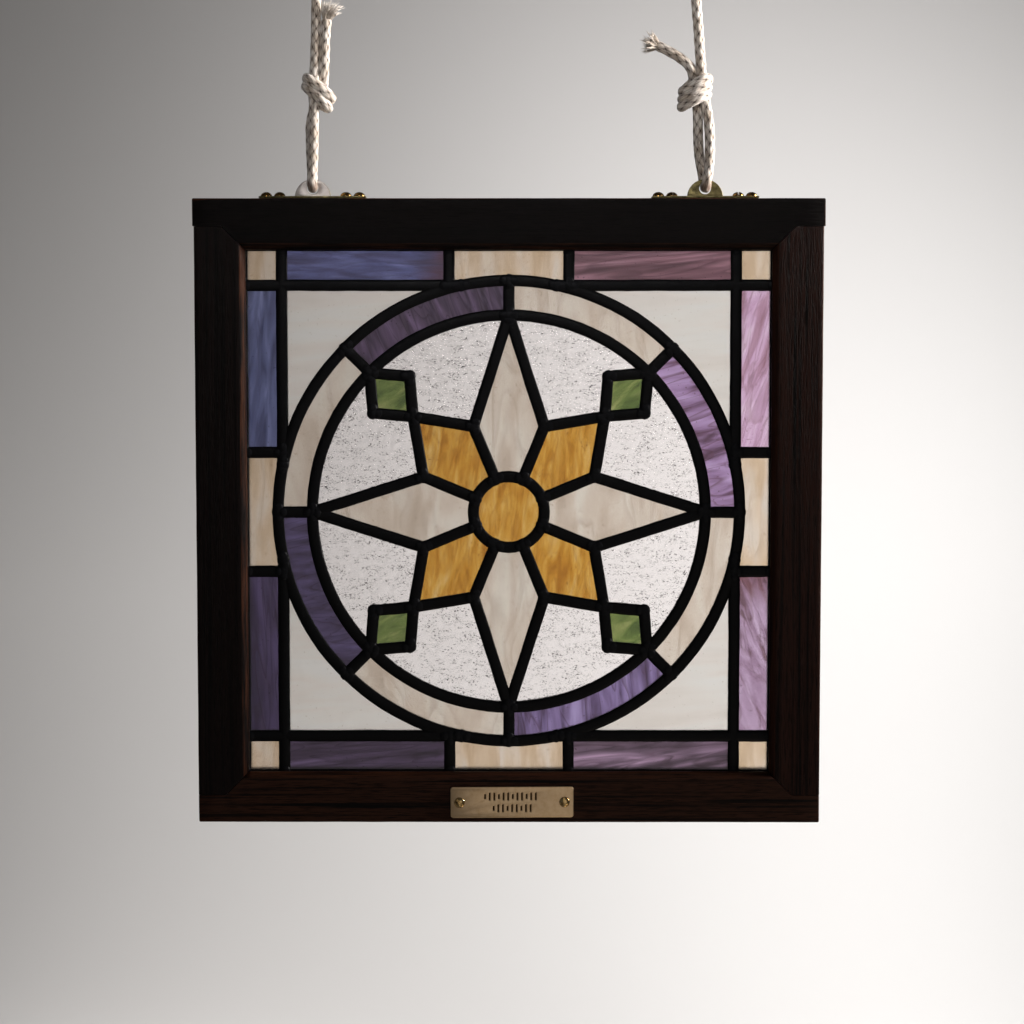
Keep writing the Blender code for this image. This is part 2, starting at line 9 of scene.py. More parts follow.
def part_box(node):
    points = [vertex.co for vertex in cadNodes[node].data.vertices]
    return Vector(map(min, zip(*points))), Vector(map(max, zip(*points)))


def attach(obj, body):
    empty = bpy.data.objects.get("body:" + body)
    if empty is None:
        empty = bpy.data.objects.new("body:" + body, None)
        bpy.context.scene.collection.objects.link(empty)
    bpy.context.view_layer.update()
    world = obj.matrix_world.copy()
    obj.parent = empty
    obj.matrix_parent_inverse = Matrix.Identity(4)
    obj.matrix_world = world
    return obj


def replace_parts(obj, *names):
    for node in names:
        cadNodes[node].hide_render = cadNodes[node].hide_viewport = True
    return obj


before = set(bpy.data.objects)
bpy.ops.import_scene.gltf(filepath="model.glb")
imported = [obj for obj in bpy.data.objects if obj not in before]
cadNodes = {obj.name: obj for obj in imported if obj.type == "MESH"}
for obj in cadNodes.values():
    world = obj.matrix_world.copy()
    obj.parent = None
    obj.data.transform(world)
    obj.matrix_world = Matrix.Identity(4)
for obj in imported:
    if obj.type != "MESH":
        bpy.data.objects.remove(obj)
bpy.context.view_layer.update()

# A leaded glass panel in a stained oak frame, hung on two knotted cotton cords
# Metres, +Z up, front towards -Y, and the origin is midway between the two cord eyes

# What every piece is set out from, measured on the CAD nodes
railLow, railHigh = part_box("frame_top_rail")
cameLow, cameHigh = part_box("lead_came")
frameTop = railHigh.z
frameFront = railLow.y
centreZ = (cameLow.z + cameHigh.z) / 2
panelY = (cameLow.y + cameHigh.y) / 2
panelHalf = (cameHigh.x - cameLow.x) / 2


def toLinear(hexCode):
    # sRGB hex to the linear light that shaders and lamps read
    parts = [int(hexCode[k:k + 2], 16) / 255 for k in (1, 3, 5)]
    return (*[p / 12.92 if p <= 0.04045 else ((p + 0.055) / 1.055) ** 2.4 for p in parts], 1.0)


def setInputs(tree, node, values):
    # An input is a number, a hex colour or another node's output
    for key, value in values.items():
        if isinstance(value, bpy.types.NodeSocket):
            tree.links.new(value, node.inputs[key])
        else:
            node.inputs[key].default_value = toLinear(value) if isinstance(value, str) else value


def addNode(tree, kind, values, out=0):
    # One node: a lower-case key is a setting of it and any other an input, and out is what is read
    # On a Mix of two colours, 0 is the share, 6 and 7 are the colours and 2 is what comes out
    node = tree.nodes.new("ShaderNode" + kind)
    settings = [key for key in values if isinstance(key, str) and key.islower()]
    for key in settings:
        if key == "stops":  # places and colours along a colour ramp
            elements = node.color_ramp.elements
            while len(elements) < len(values[key]):
                elements.new(0.5)
            for element, (place, colour) in zip(elements, values[key]):
                element.position = place
                element.color = toLinear(colour) if isinstance(colour, str) else (*[colour] * 3, 1)
        else:
            setattr(node, key, values[key])
    setInputs(tree, node, {key: value for key, value in values.items() if key not in settings})
    return node.outputs[out]


def newMaterial(name, values):
    made = bpy.data.materials.new(name)
    made.use_nodes = True
    shader = made.node_tree.nodes["Principled BSDF"]
    setInputs(made.node_tree, shader, values)
    return made, made.node_tree, shader


def addPiece(name, bm, material, smooth=40):
    # Turns a finished bmesh into a piece that rides on the frame's only body
    mesh = bpy.data.meshes.new(name)
    bm.to_mesh(mesh)
    bm.free()
    piece = bpy.data.objects.new(name, mesh)
    bpy.context.scene.collection.objects.link(piece)
    mesh.materials.append(material)
    mesh.shade_smooth()
    mesh.set_sharp_from_angle(angle=math.radians(smooth))
    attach(piece, "root")
    return piece


# Camera, at the height and distance that the photograph's perspective gives

cameraSetup = {
    "lens": 85.0,
    "distance": 1.352,
    "elevation": 4.1,
    "azimuth": 0.3,
    "aimRight": 0.0018,
    "aimUp": 0.00060,
}


def makeCamera(s):
    data = bpy.data.cameras.new("camera")
    data.lens = s["lens"]
    camera = bpy.data.objects.new("camera", data)
    bpy.context.scene.collection.objects.link(camera)
    lift, turn = math.radians(s["elevation"]), math.radians(s["azimuth"])
    back = Vector((math.sin(turn) * math.cos(lift), -math.cos(turn) * math.cos(lift), math.sin(lift)))
    camera.location = Vector((0, frameFront, centreZ)) + s["distance"] * back
    aim = Vector((s["aimRight"], frameFront, centreZ + s["aimUp"]))
    camera.rotation_euler = (aim - camera.location).to_track_quat("-Z", "Y").to_euler()
    bpy.context.scene.camera = camera


# Stage: a pale floor that curves up into a wall well behind the panel

stageSetup = {
    "floorZ": -1.16,
    "wallY": 2.25,
    "coveRadius": 0.55,
    "halfWidth": 4.5,
    "reach": 5.0,
    "wallTop": 3.2,
    "paper": "#D8D7D6",
    "sky": "#D6D4D4",
    "skyStrength": 0.085,
}


def makeStage(s):
    bm = bmesh.new()
    start = [bm.verts.new((x, -s["reach"], s["floorZ"])) for x in (-s["halfWidth"], s["halfWidth"])]
    edge = bm.edges.new(start)
    bend = s["wallY"] - s["coveRadius"]
    run = bend + s["reach"]
    bmesh.ops.translate(bm, verts=start, vec=(0, run, 0))
    spun = bmesh.ops.spin(
        bm, geom=[*start, edge], cent=(0, bend, s["floorZ"] + s["coveRadius"]), axis=(1, 0, 0),
        angle=math.pi / 2, steps=24,
    )
    for lift, ends in (((0, 0, s["wallTop"]), spun["geom_last"]), ((0, -run, 0), [*start, edge])):
        edges = [part for part in ends if isinstance(part, bmesh.types.BMEdge)]
        pulled = bmesh.ops.extrude_edge_only(bm, edges=edges)
        verts = [part for part in pulled["geom"] if isinstance(part, bmesh.types.BMVert)]
        bmesh.ops.translate(bm, verts=verts, vec=lift)
    bmesh.ops.recalc_face_normals(bm, faces=bm.faces)
    mesh = bpy.data.meshes.new("backdrop")
    bm.to_mesh(mesh)
    bm.free()
    mesh.materials.append(newMaterial("painted_backdrop", {
        "Roughness": 0.9, "Specular IOR Level": 0.1, "Base Color": s["paper"],
    })[0])
    mesh.shade_smooth()
    floor = bpy.data.objects.new("backdrop", mesh)
    bpy.context.scene.collection.objects.link(floor)
    world = bpy.data.worlds.new("studio")
    world.use_nodes = True
    sky = world.node_tree.nodes["Background"]
    setInputs(world.node_tree, sky, {"Color": s["sky"], "Strength": s["skyStrength"]})
    bpy.context.scene.world = world
    bpy.context.scene.view_settings.view_transform = "Standard"


# Lights: most of the light is on the wall, so the glass glows and the wood stays dark

lampSetup = {
    "wallMid": {"place": (0.6, 1.35, -0.5), "aim": (0.6, 2.25, -0.6), "size": (0.6, 0.6), "watts": 8.4,
                "tint": "#FFFEFD"},
    "wallTop": {"place": (0.3, 1.5, 0.1), "aim": (0.3, 2.25, -0.1), "size": (0.6, 0.4), "watts": 2.7,
                "tint": "#FFFAF8"},
    "coveMid": {"place": (0.25, 1.35, -0.85), "aim": (0.25, 1.9, -1.16), "size": (1.0, 0.3),
                "watts": 2.6, "tint": "#FFFBF8"},
    "coveLeft": {"place": (-0.5, 1.45, -0.9), "aim": (-0.5, 1.9, -1.16), "size": (0.6, 0.25),
                 "watts": 1.5, "tint": "#FFFBF8"},
    "softFront": {"place": (0.3, -2.2, -0.55), "aim": (0, 0, -0.35), "size": (1.5, 1.5), "watts": 2.6,
                  "tint": "#FFF6EE"},
    "lowFront": {"place": (0.3, -0.55, -1.08), "aim": (0, 0, -0.5), "size": (0.6, 0.4), "watts": 1.0,
                 "tint": "#FFEFDC"},
    "rightSide": {"place": (1.1, 0.04, 0.14), "aim": (0, 0, -0.06), "size": (0.45, 0.6), "watts": 7.5,
                  "tint": "#FFF8F2", "spread": 60},
    "cordFront": {"place": (0.0, -1.25, 0.25), "aim": (0, 0, 0.05), "size": (0.25, 0.25),
                  "watts": 0.21, "tint": "#FFFBFA", "spread": 32},
}


def makeLamps(lamps):
    for name, s in lamps.items():
        data = bpy.data.lights.new(name, "AREA")
        data.shape = "RECTANGLE"
        data.size, data.size_y = s["size"]
        data.energy = s["watts"]
        data.color = toLinear(s["tint"])[:3]
        data.spread = math.radians(s.get("spread", 180))
        lamp = bpy.data.objects.new(name, data)
        bpy.context.scene.collection.objects.link(lamp)
        lamp.location = s["place"]
        lamp.rotation_euler = (Vector(s["aim"]) - lamp.location).to_track_quat("-Z", "Y").to_euler()
        lamp.visible_camera = False


# Cords: braided cotton, one length each, in order from the frayed tail to the short end above
# Points are measured from the hanger's middle on top of the frame, as in the CAD

cordSetup = {
    "diameter": 0.005,
    "radius": 0.00280,
    "relief": 0.00046,      # from the deepest groove to the top of a strand
    "reliefMiddle": 0.75,   # the share of the relief that lies on the radius
    "fuzz": 0.00006,
    "strands": 8,           # strands of the braid, half of them each way
    "strandPitch": 0.0034,  # spacing of the crossings along the cord
    "strandHeight": 0.62,   # a strand's height, and what it gains and loses at a crossing
    "crossing": 0.34,
    "plies": 3,
    "plyRelief": 0.07,
    "knotReach": 1.25,      # inside this many knot widths the cord is pressed wider and thinner
    "wider": 1.18,
    "thinner": 0.10,
    "easing": 0.0022,       # the length that its bends are eased over
    "sides": 48,
    "step": 0.00036,
    "quickSides": 20,
    "quickStep": 0.0009,
    "routeStep": 0.002,
    # painted shade and light: the colour runs from dark in the deepest grooves to pale on the strand tops
    "grooveShade": "#4A423D",
    "groove": "#A0968E",
    "yarn": "#DED6CE",
    "pale": "#F2EDE6",
    "brownTint": "#6B4A34",
    "brownTintReach": 0.011,     # how high above the frame the loops are browned
    "fibre": (0.028, 0.010),  # a yarn's length and width as shares of the cord's own map
    "blotch": 0.00625,
}

cordRuns = {
    "left": {
        "top": 0.0030,                   # how far to the side it leaves the view
        "tuck": (0.0056, 0.0040, 0.0045),  # where the tail leaves the knot, its depth and rise
        "strand": (
            (0.0028, 0.0, 0.120), (0.0025, 0.0, 0.107), (0.0022, 0.0, 0.093), (0.0018, -0.0002, 0.080),
            (0.0012, -0.0008, 0.068), (0.0010, -0.0020, 0.056), (0.0010, -0.0028, 0.044),
            (0.0008, -0.0029, 0.032), (0.0004, -0.0032, 0.020), (-0.0002, -0.0039, 0.0102),
            (0.0, -0.00276, 0.0074), (0.0, 0.0, 0.0062), (0.0, 0.00276, 0.0074),
            (-0.0004, 0.0039, 0.0102), (-0.0009, 0.0032, 0.020), (-0.0012, 0.0029, 0.032),
            (-0.0008, 0.0028, 0.044),
        ),
        "tail": ((0.0064, 0.0002, 0.069), (0.0070, 0.0, 0.080), (0.0074, 0.0, 0.090),
                 (0.0084, -0.0004, 0.1005)),
    },
    "right": {
        "top": -0.0062,
        "tuck": (-0.0052, 0.0040, 0.0045),
        "strand": (
            (-0.0059, 0.0, 0.120), (-0.0054, 0.0, 0.108), (-0.0042, 0.0, 0.094),
            (-0.0032, -0.0002, 0.080), (-0.0022, -0.0008, 0.068), (-0.0006, -0.0012, 0.056),
            (0.0013, -0.0012, 0.046), (0.0024, -0.0007, 0.035), (0.0024, -0.0012, 0.025),
            (0.0018, -0.0026, 0.017), (0.0008, -0.0039, 0.0102), (0.0004, -0.00276, 0.0074),
            (0.0002, 0.0, 0.0062), (0.0, 0.00276, 0.0074), (-0.0004, 0.0039, 0.0102),
            (-0.0018, 0.0028, 0.017), (-0.0033, 0.0012, 0.025), (-0.0040, 0.0006, 0.035),
            (-0.0042, 0.0008, 0.046),
        ),
        "tail": ((-0.0078, -0.0008, 0.0712), (-0.0129, -0.0010, 0.0768), (-0.0205, -0.0006, 0.0816),
                 (-0.0285, 0.0, 0.0855)),
    },
}
eyeLoop = (
    (0.0006, -0.0010, 0.132), (0.0052, -0.0004, 0.145), (0.0076, 0.0, 0.155), (0.0056, 0.0, 0.1632),
    (0.0, 0.0, 0.166), (-0.0056, 0.0, 0.1632), (-0.0076, 0.0, 0.155), (-0.0052, 0.0004, 0.145),
    (-0.0006, 0.0010, 0.132),
)
eyeTail = ((0.0054, 0.0022, 0.122), (0.0058, 0.0024, 0.1155))

# Each knot's turns run round its core from the back, by the left side, to the front
knotSetup = {
    "left": {"middle": (0.0046, 0.0, 0.0610), "across": 0.0074, "deep": 0.0054, "turns": 2.0,
             "pitch": 0.0057, "tilt": (0.58, 0.82), "width": (1.0, 0.84), "shift": -0.0024},
    "right": {"middle": (-0.0054, 0.0, 0.0630), "across": 0.0074, "deep": 0.0060, "turns": 2.9,
              "pitch": 0.0041, "tilt": (-0.66, -0.60), "width": (0.98, 0.96), "shift": -0.0010},
    "eye": {"middle": (0.0, 0.0, 0.1350), "across": 0.0064, "deep": 0.0054, "turns": 2.0,
            "pitch": 0.0053, "tilt": (0.30, 0.30), "width": (1.0, 1.0), "shift": 0.0},
}


def knotTurns(s, steps=18):
    # Turns about a leaning core: each falls to the right in front and drops by the pitch
    points = []
    middle = Vector(s["middle"])
    count = round(s["turns"] * steps)
    for k in range(count + 1):
        share = k / count
        angle = -math.pi + 2 * math.pi * k / steps
        tilt = s["tilt"][0] + (s["tilt"][1] - s["tilt"][0]) * share
        width = s["width"][0] + (s["width"][1] - s["width"][0]) * share
        x = width * s["across"] * math.sin(angle) + s["shift"] * share
        y = -width * s["deep"] * math.cos(angle)
        z = -s["pitch"] * angle / (2 * math.pi) - tilt * x
        points.append(middle + Vector((x, y, z)))
    return points


def smoothLine(points, step):
    # A Catmull-Rom curve through the points, then points spaced evenly along it
    padded = [points[0], *points, points[-1]]
    line = []
    for a, b, c, d in zip(padded, padded[1:], padded[2:], padded[3:]):
        parts = max(2, math.ceil((c - b).length / step))
        for k in range(parts):
            t = k / parts
            line.append(0.5 * (2 * b + (c - a) * t + (2 * a - 5 * b + 4 * c - d) * t * t
                               + (3 * b - 3 * c + d - a) * t * t * t))
    line.append(points[-1])
    even, left = [line[0]], step
    for a, b in zip(line, line[1:]):
        gap = (b - a).length
        while gap >= left:
            a = a + (b - a) * (left / gap)
            even.append(a)
            gap, left = (b - a).length, step
        left -= gap
    return even


def relax(line, rounds):
    # Bends are eased as a soft cord's are, with both ends kept
    for _ in range(rounds):
        line = [line[0], *[(a + 2 * b + c) / 4 for a, b, c in zip(line, line[1:], line[2:])], line[-1]]
    return line


def pathLength(line):
    return sum((b - a).length for a, b in zip(line, line[1:]))


def cordFrames(line):
    # Two side directions at each point, carried along without twist
    frames = []
    side = Vector((0, 1, 0))
    for k, point in enumerate(line):
        along = (line[min(k + 1, len(line) - 1)] - line[max(k - 1, 0)]).normalized()
        side = (side - along * side.dot(along)).normalized()
        frames.append((point, side, along.cross(side)))
    return frames


def braidHeight(around, along, s):
    # Plain braid: strands lean both ways and take turns to lie on top, from 0 in a groove to 1
    across = around * s["strands"]
    length = along / s["strandPitch"]
    leanLeft, leanRight = across / 2 + length / 2, across / 2 - length / 2
    left, right = math.floor(leanLeft), math.floor(leanRight)
    a, b = leanLeft - left - 0.5, leanRight - right - 0.5
    over = s["crossing"] * (1 if (left + right) % 2 else -1)
    ply = 2 * math.pi * s["plies"]
    first = math.sqrt(max(0.0, 1 - 4 * a * a)) * (s["strandHeight"] + over * math.cos(math.pi * b))
    second = math.sqrt(max(0.0, 1 - 4 * b * b)) * (s["strandHeight"] - over * math.cos(math.pi * a))
    return max(first + s["plyRelief"] * math.cos(ply * a), second + s["plyRelief"] * math.cos(ply * b))


def cordPath(offset, hand, step):
    # Tail, lower knot, down to the hanger's hole and back up, eye, upper knot, short end
    run = cordRuns[hand]
    top = run["top"]
    lower = knotTurns(knotSetup[hand])
    tuckX, tuckY, tuckRise = run["tuck"]
    tuck = Vector((0.4 * lower[-1].x + 0.6 * tuckX, tuckY, lower[-1].z + tuckRise))
    points = [*map(Vector, reversed(run["tail"])), tuck, *reversed(lower)]
    points += map(Vector, reversed(run["strand"]))
    points += [Vector((top + px, py, pz)) for px, py, pz in eyeLoop]
    points += [point + Vector((top, 0, 0)) for point in knotTurns(knotSetup["eye"])]
    points += [Vector((top + px, py, pz)) for px, py, pz in eyeTail]
    return [offset + point for point in smoothLine(points, step)]


def makeCord(hand, cotton):
    s, name = cordSetup, hand + "_cord"
    sides, step = ((s["sides"], s["step"]))
    low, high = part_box(hand + "_hanger")
    x = (low.x + high.x) / 2
    offset = Vector((x, 0, frameTop))
    path = relax(cordPath(offset, hand, step), round(s["easing"] / step))
    frames = cordFrames(path)
    core = offset + Vector(knotSetup[hand]["middle"])
    reach = knotSetup[hand]["across"] * s["knotReach"]
    bm = bmesh.new()
    bm.loops.layers.uv.new("cordMap")
    bmesh.ops.create_grid(bm, x_segments=sides, y_segments=len(path) - 1, size=0.5, calc_uvs=True)
    relief = bm.verts.layers.float.new("relief")
    last = len(path) - 1
    for vert in bm.verts:
        around, k = vert.co.x + 0.5, round((vert.co.y + 0.5) * last)
        point, side, across = frames[k]
        run = k * step
        height = braidHeight(around, run, s)
        rough = noise.noise(Vector((around * 9, run * 900, x * 50)))
        ending = min(run, (last - k) * step) / s["radius"]
        taper = math.sqrt(max(0.0, 1 - (1 - ending) ** 2)) if ending < 1 else 1.0
        radius = (s["radius"] - s["relief"] * (s["reliefMiddle"] - height) + s["fuzz"] * rough) * taper
        turn = 2 * math.pi * around
        out = radius * (math.cos(turn) * side + math.sin(turn) * across)
        near = max(0.0, min(1.0, 3 - 3 * (point - core).length / reach))
        if near > 0:  # a turn of the knot lies flatter against the core
            outward = (point - core).normalized()
            press = out.dot(outward) * outward
            out += near * ((s["wider"] - 1) * (out - press) - s["thinner"] * press)
        vert.co = point + out
        vert[relief] = height
    bmesh.ops.remove_doubles(bm, verts=bm.verts, dist=0.000002)
    bmesh.ops.recalc_face_normals(bm, faces=bm.faces)
    piece = addPiece(name + "_braid", bm, cotton, smooth=180)
    frays = makeFrays(hand, path, cotton)
    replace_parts(piece, name)
    print(name, "is", round(pathLength(path) * 1000), "mm long,", len(piece.data.polygons), "faces")


# Frayed ends: the braid's yarns come apart in a brush

fraySetup = {
    "yarnRadius": 0.00032,
    "yarnSteps": 5,
    "taper": 0.86,
    "tip": 0.35,
    "rootRadius": 0.0019,          # the yarns start inside this circle
    "rootDepth": (0.0005, 0.003),  # and this far back in the braid
    "stray": (0.10, 0.12),         # how far each yarn starts out and bends its own way
    "bend": (0.30, 0.25),          # how far it bends towards the heading and outwards
    "left": {"yarns": 130, "heading": (1.0, -0.1, 0.0), "length": 0.0145, "fan": 0.42},
    "right": {"yarns": 130, "heading": (-0.60, -0.05, 0.20), "length": 0.0110, "fan": 1.0},
    "eye": {"yarns": 43, "heading": (0.05, 0.1, -1.0), "length": 0.005, "fan": 0.35},
}


def addYarn(bm, start, heading, bend, length, radius):
    # A thin tapered strand of four sides, bent one way
    heading = heading.normalized()
    made = bmesh.ops.create_circle(bm, cap_ends=True, segments=4, radius=radius)
    spin = heading.to_track_quat("Z", "Y").to_matrix()
    verts = made["verts"]
    bmesh.ops.rotate(bm, verts=verts, matrix=spin)
    bmesh.ops.translate(bm, verts=verts, vec=start)
    face = verts[0].link_faces[0]
    steps = fraySetup["yarnSteps"]
    for k in range(steps):
        heading = (heading + bend * (k + 1) / steps).normalized()
        pulled = bmesh.ops.extrude_face_region(bm, geom=[face])["geom"]
        face = next(part for part in pulled if isinstance(part, bmesh.types.BMFace))
        bmesh.ops.translate(bm, verts=face.verts, vec=heading * length / steps)
        middle = face.calc_center_median()
        size = fraySetup["taper"] if k < steps - 1 else fraySetup["tip"]
        bmesh.ops.scale(bm, verts=face.verts, vec=(size, size, size), space=Matrix.Translation(-middle))


def stray(rng, amount):
    return amount * Vector([rng.uniform(-1, 1) for _ in range(3)])


def makeFrays(hand, path, cotton):
    s = fraySetup
    rng = random.Random(hand + "_cord")
    pieces = []
    for name, place, before, key in (
        ("_cord_fray", path[0], path[6], hand), ("_cord_end", path[-1], path[-7], "eye"),
    ):
        heading, fan = Vector(s[key]["heading"]).normalized(), s[key]["fan"]
        side = (place - before).orthogonal().normalized()
        out = (place - before).normalized()
        across = out.cross(side)
        bm = bmesh.new()
        for _ in range(s[key]["yarns"]):
            turn, reach = rng.uniform(0, 2 * math.pi), math.sqrt(rng.random())
            off = (math.cos(turn) * side + math.sin(turn) * across) * reach
            start = place + off * s["rootRadius"] - out * rng.uniform(*s["rootDepth"])
            lean = out + off * fan + stray(rng, s["stray"][0])
            bend = s["bend"][0] * heading + s["bend"][1] * off * fan + stray(rng, s["stray"][1])
            length = s[key]["length"] * rng.uniform(0.55, 1.0) * (1 - 0.25 * reach)
            addYarn(bm, start, lean, bend, length, s["yarnRadius"] * rng.uniform(0.6, 1.4))
        bmesh.ops.recalc_face_normals(bm, faces=bm.faces)
        relief = bm.verts.layers.float.new("relief")
        for vert in bm.verts:
            vert[relief] = rng.uniform(0.55, 1.0)
        pieces.append(addPiece(hand + name, bm, cotton, smooth=180))
    return pieces


def cottonMaterial(name, s):
    # Natural cotton, braided: matt and soft, pale yarns, with grey-brown painted shade in the grooves
    made, tree, shader = newMaterial(name, {
        "Roughness": 0.92, "Specular IOR Level": 0.2, "Sheen Weight": 0.35, "Sheen Roughness": 0.5,
    })
    relief = addNode(tree, "Attribute", {"attribute_name": "relief"}, "Fac")
    place = addNode(tree, "TexCoord", {}, "Object")
    # The colour follows the braid's relief: the grooves are darkened as painted shade and the strand tops
    # lightened as painted light
    tone = addNode(tree, "ValToRGB", {
        "stops": [(0.30, s["grooveShade"]), (0.48, s["groove"]), (0.68, s["yarn"]), (0.95, s["pale"])],
        "Fac": relief,
    })
    blotch = addNode(tree, "TexNoise", {"Vector": place, "Scale": 1 / s["blotch"], "Detail": 3.0})
    brownTint = addNode(tree, "ValToRGB", {"stops": [(0.35, "#D9CDBD"), (0.6, "#FFFFFF")], "Fac": blotch})
    lengthwise = addNode(tree, "Mapping", {
        "vector_type": "TEXTURE", "Vector": addNode(tree, "UVMap", {"uv_map": "cordMap"}),
        "Scale": (*s["fibre"], 1),
    })
    fibres = addNode(tree, "TexNoise", {
        "Vector": lengthwise, "Scale": 1.0, "Detail": 3.0, "Roughness": 0.6,
    })
    yarns = addNode(tree, "ValToRGB", {"stops": [(0.36, "#A8A098"), (0.52, "#FFFFFF")], "Fac": fibres})
    colour = tone
    for share, shade in ((0.7, brownTint), (0.9, yarns)):
        colour = addNode(tree, "Mix", {
            "data_type": "RGBA", "blend_type": "MULTIPLY", 0: share, 6: colour, 7: shade,
        }, 2)
    # The loops are browned towards their bottoms, where they pass through the hangers' holes
    lowness = addNode(tree, "MapRange", {
        "Value": addNode(tree, "SeparateXYZ", {"Vector": place}, "Z"),
        "From Min": frameTop + s["brownTintReach"], "From Max": frameTop + 0.006, "To Max": 0.75,
    })
    setInputs(tree, shader, {
        "Base Color": addNode(tree, "Mix", {
            "data_type": "RGBA", 0: lowness, 6: colour, 7: s["brownTint"],
        }, 2),
        "Normal": addNode(tree, "Bump", {"Strength": 0.8, "Distance": 0.0005, "Height": fibres}),
    })
    return made


def makeCords():
    cotton = cottonMaterial("braided_cotton", cordSetup)
    for hand in ("left", "right"):
        makeCord(hand, cotton)


# Oak frame: the four members with rounded, rubbed edges and an open grain along each

woodSetup = {
    "rounding": 0.0008,
    "buttLine": 0.1595,    # from the panel's middle to the butt joints
    "slice": 0.010,
    "fade": 0.0022,        # from a rounded edge to where its wear ends
    "sightOverlap": 0.0058,
    "slopeCuts": (0.0035, 0.0060),
    "slopeDepth": 0.004,
    "turned": 0.955,       # two faces whose normals' product is lower meet at a worn edge
    "sway": 0.00010,
    "dent": 0.00045,
    "ring": (0.20, 0.0026),     # along the grain and across it
    "pore": (0.009, 0.00035),   # oak pores are 0.3 mm, drawn at that
    "rub": (0.045, 0.0018),
    # painted light: how much lighter brown each member's sloping inner edge gets, more where that slope faces
    # the light
    "slopeWearAndLight": {"frame_top_rail": 0.5, "frame_bottom_rail": 0.75, "frame_left_stile": 1.0,
                  "frame_right_stile": 0.5},
    "night": "#050303",
    "stain": "#0B0606",
    # painted light and shade: the bottom rail and right stile are lighter as if lit, and the top rail and
    # left stile darker as if shaded
    "brown": {"frame_top_rail": "#0C0707", "frame_bottom_rail": "#3A2218",
              "frame_left_stile": "#150C0B", "frame_right_stile": "#301A14"},
    "bead": "#140B0A",
    "rubbed": "#2C1710",
    "bare": "#4C2C1C",
}


def oakMaterial(name, s, along, brown):
    # Oak, planed, stained near black and waxed: a low sheen, dark pores and brown rubbed edges; a frame
    # member's brown carries its painted light or shade
    made, tree, shader = newMaterial(name, {"Specular IOR Level": 0.10})
    place = addNode(tree, "TexCoord", {}, "Object")
    grain = {}
    for key, values in (
        ("ring", {"Detail": 4.0, "Roughness": 0.6, "Distortion": 0.4}), ("pore", {"Detail": 2.0}),
        ("rub", {"Detail": 5.0, "Roughness": 0.65}),
    ):
        length, width = s[key]
        size = (length, width, width) if along == "X" else (width, width, length)
        stretched = addNode(tree, "Mapping", {"vector_type": "TEXTURE", "Vector": place, "Scale": size})
        grain[key] = addNode(tree, "TexNoise", {"Vector": stretched, "Scale": 1.0, **values})
    tone = addNode(tree, "ValToRGB", {
        "stops": [(0.36, s["night"]), (0.51, brown), (0.60, brown), (0.76, s["stain"])],
        "Fac": grain["ring"],
    })
    pit = addNode(tree, "ValToRGB", {"stops": [(0.36, 0.0), (0.50, 1.0)], "Fac": grain["pore"]})
    grained = addNode(tree, "Mix", {
        "data_type": "RGBA", "blend_type": "MULTIPLY", 0: 0.75, 6: tone, 7: pit,
    }, 2)
    # The rounded edges are rubbed through in patches, and the sloping inner edge gets the same lighter brown
    # in patches as painted light
    wear = addNode(tree, "Attribute", {"attribute_name": "wear"}, "Fac")
    rub = addNode(tree, "MapRange", {"Value": grain["rub"], "From Min": 0.42, "From Max": 0.60})
    amount = addNode(tree, "Math", {"operation": "MULTIPLY", 0: wear, 1: rub})
    worn = addNode(tree, "ValToRGB", {
        "stops": [(0.3, s["rubbed"]), (0.7, s["bare"])], "Fac": grain["rub"],
    })
    setInputs(tree, shader, {
        "Base Color": addNode(tree, "Mix", {"data_type": "RGBA", 0: amount, 6: grained, 7: worn}, 2),
        "Roughness": addNode(tree, "MapRange", {"Value": grain["ring"], "To Min": 0.42, "To Max": 0.62}),
        "Normal": addNode(tree, "Bump", {"Strength": 0.5, "Distance": 0.00025, "Height": pit}),
    })
    return made


def isJoint(face, s):
    # The butt and mitre faces, which stay sharp
    flat = face.normal
    rise = abs(face.calc_center_median().z - centreZ)
    mitre = abs(abs(flat.x) - abs(flat.z)) < 0.05 and abs(flat.y) < 0.1
    return mitre or (abs(flat.z) > 0.9 and abs(rise - s["buttLine"]) < 0.001)


def mergedNode(name):
    # A copy of a CAD node with its loose triangles merged into whole faces
    bm = bmesh.new()
    bm.from_mesh(cadNodes[name].data)
    bmesh.ops.remove_doubles(bm, verts=bm.verts, dist=0.00001)
    bmesh.ops.dissolve_limit(bm, angle_limit=math.radians(1), verts=bm.verts, edges=bm.edges)
    return bm


def cutAt(bm, way, place):
    bmesh.ops.bisect_plane(
        bm, geom=bm.verts[:] + bm.edges[:] + bm.faces[:], dist=0.000001, plane_co=way * place,
        plane_no=way,
    )


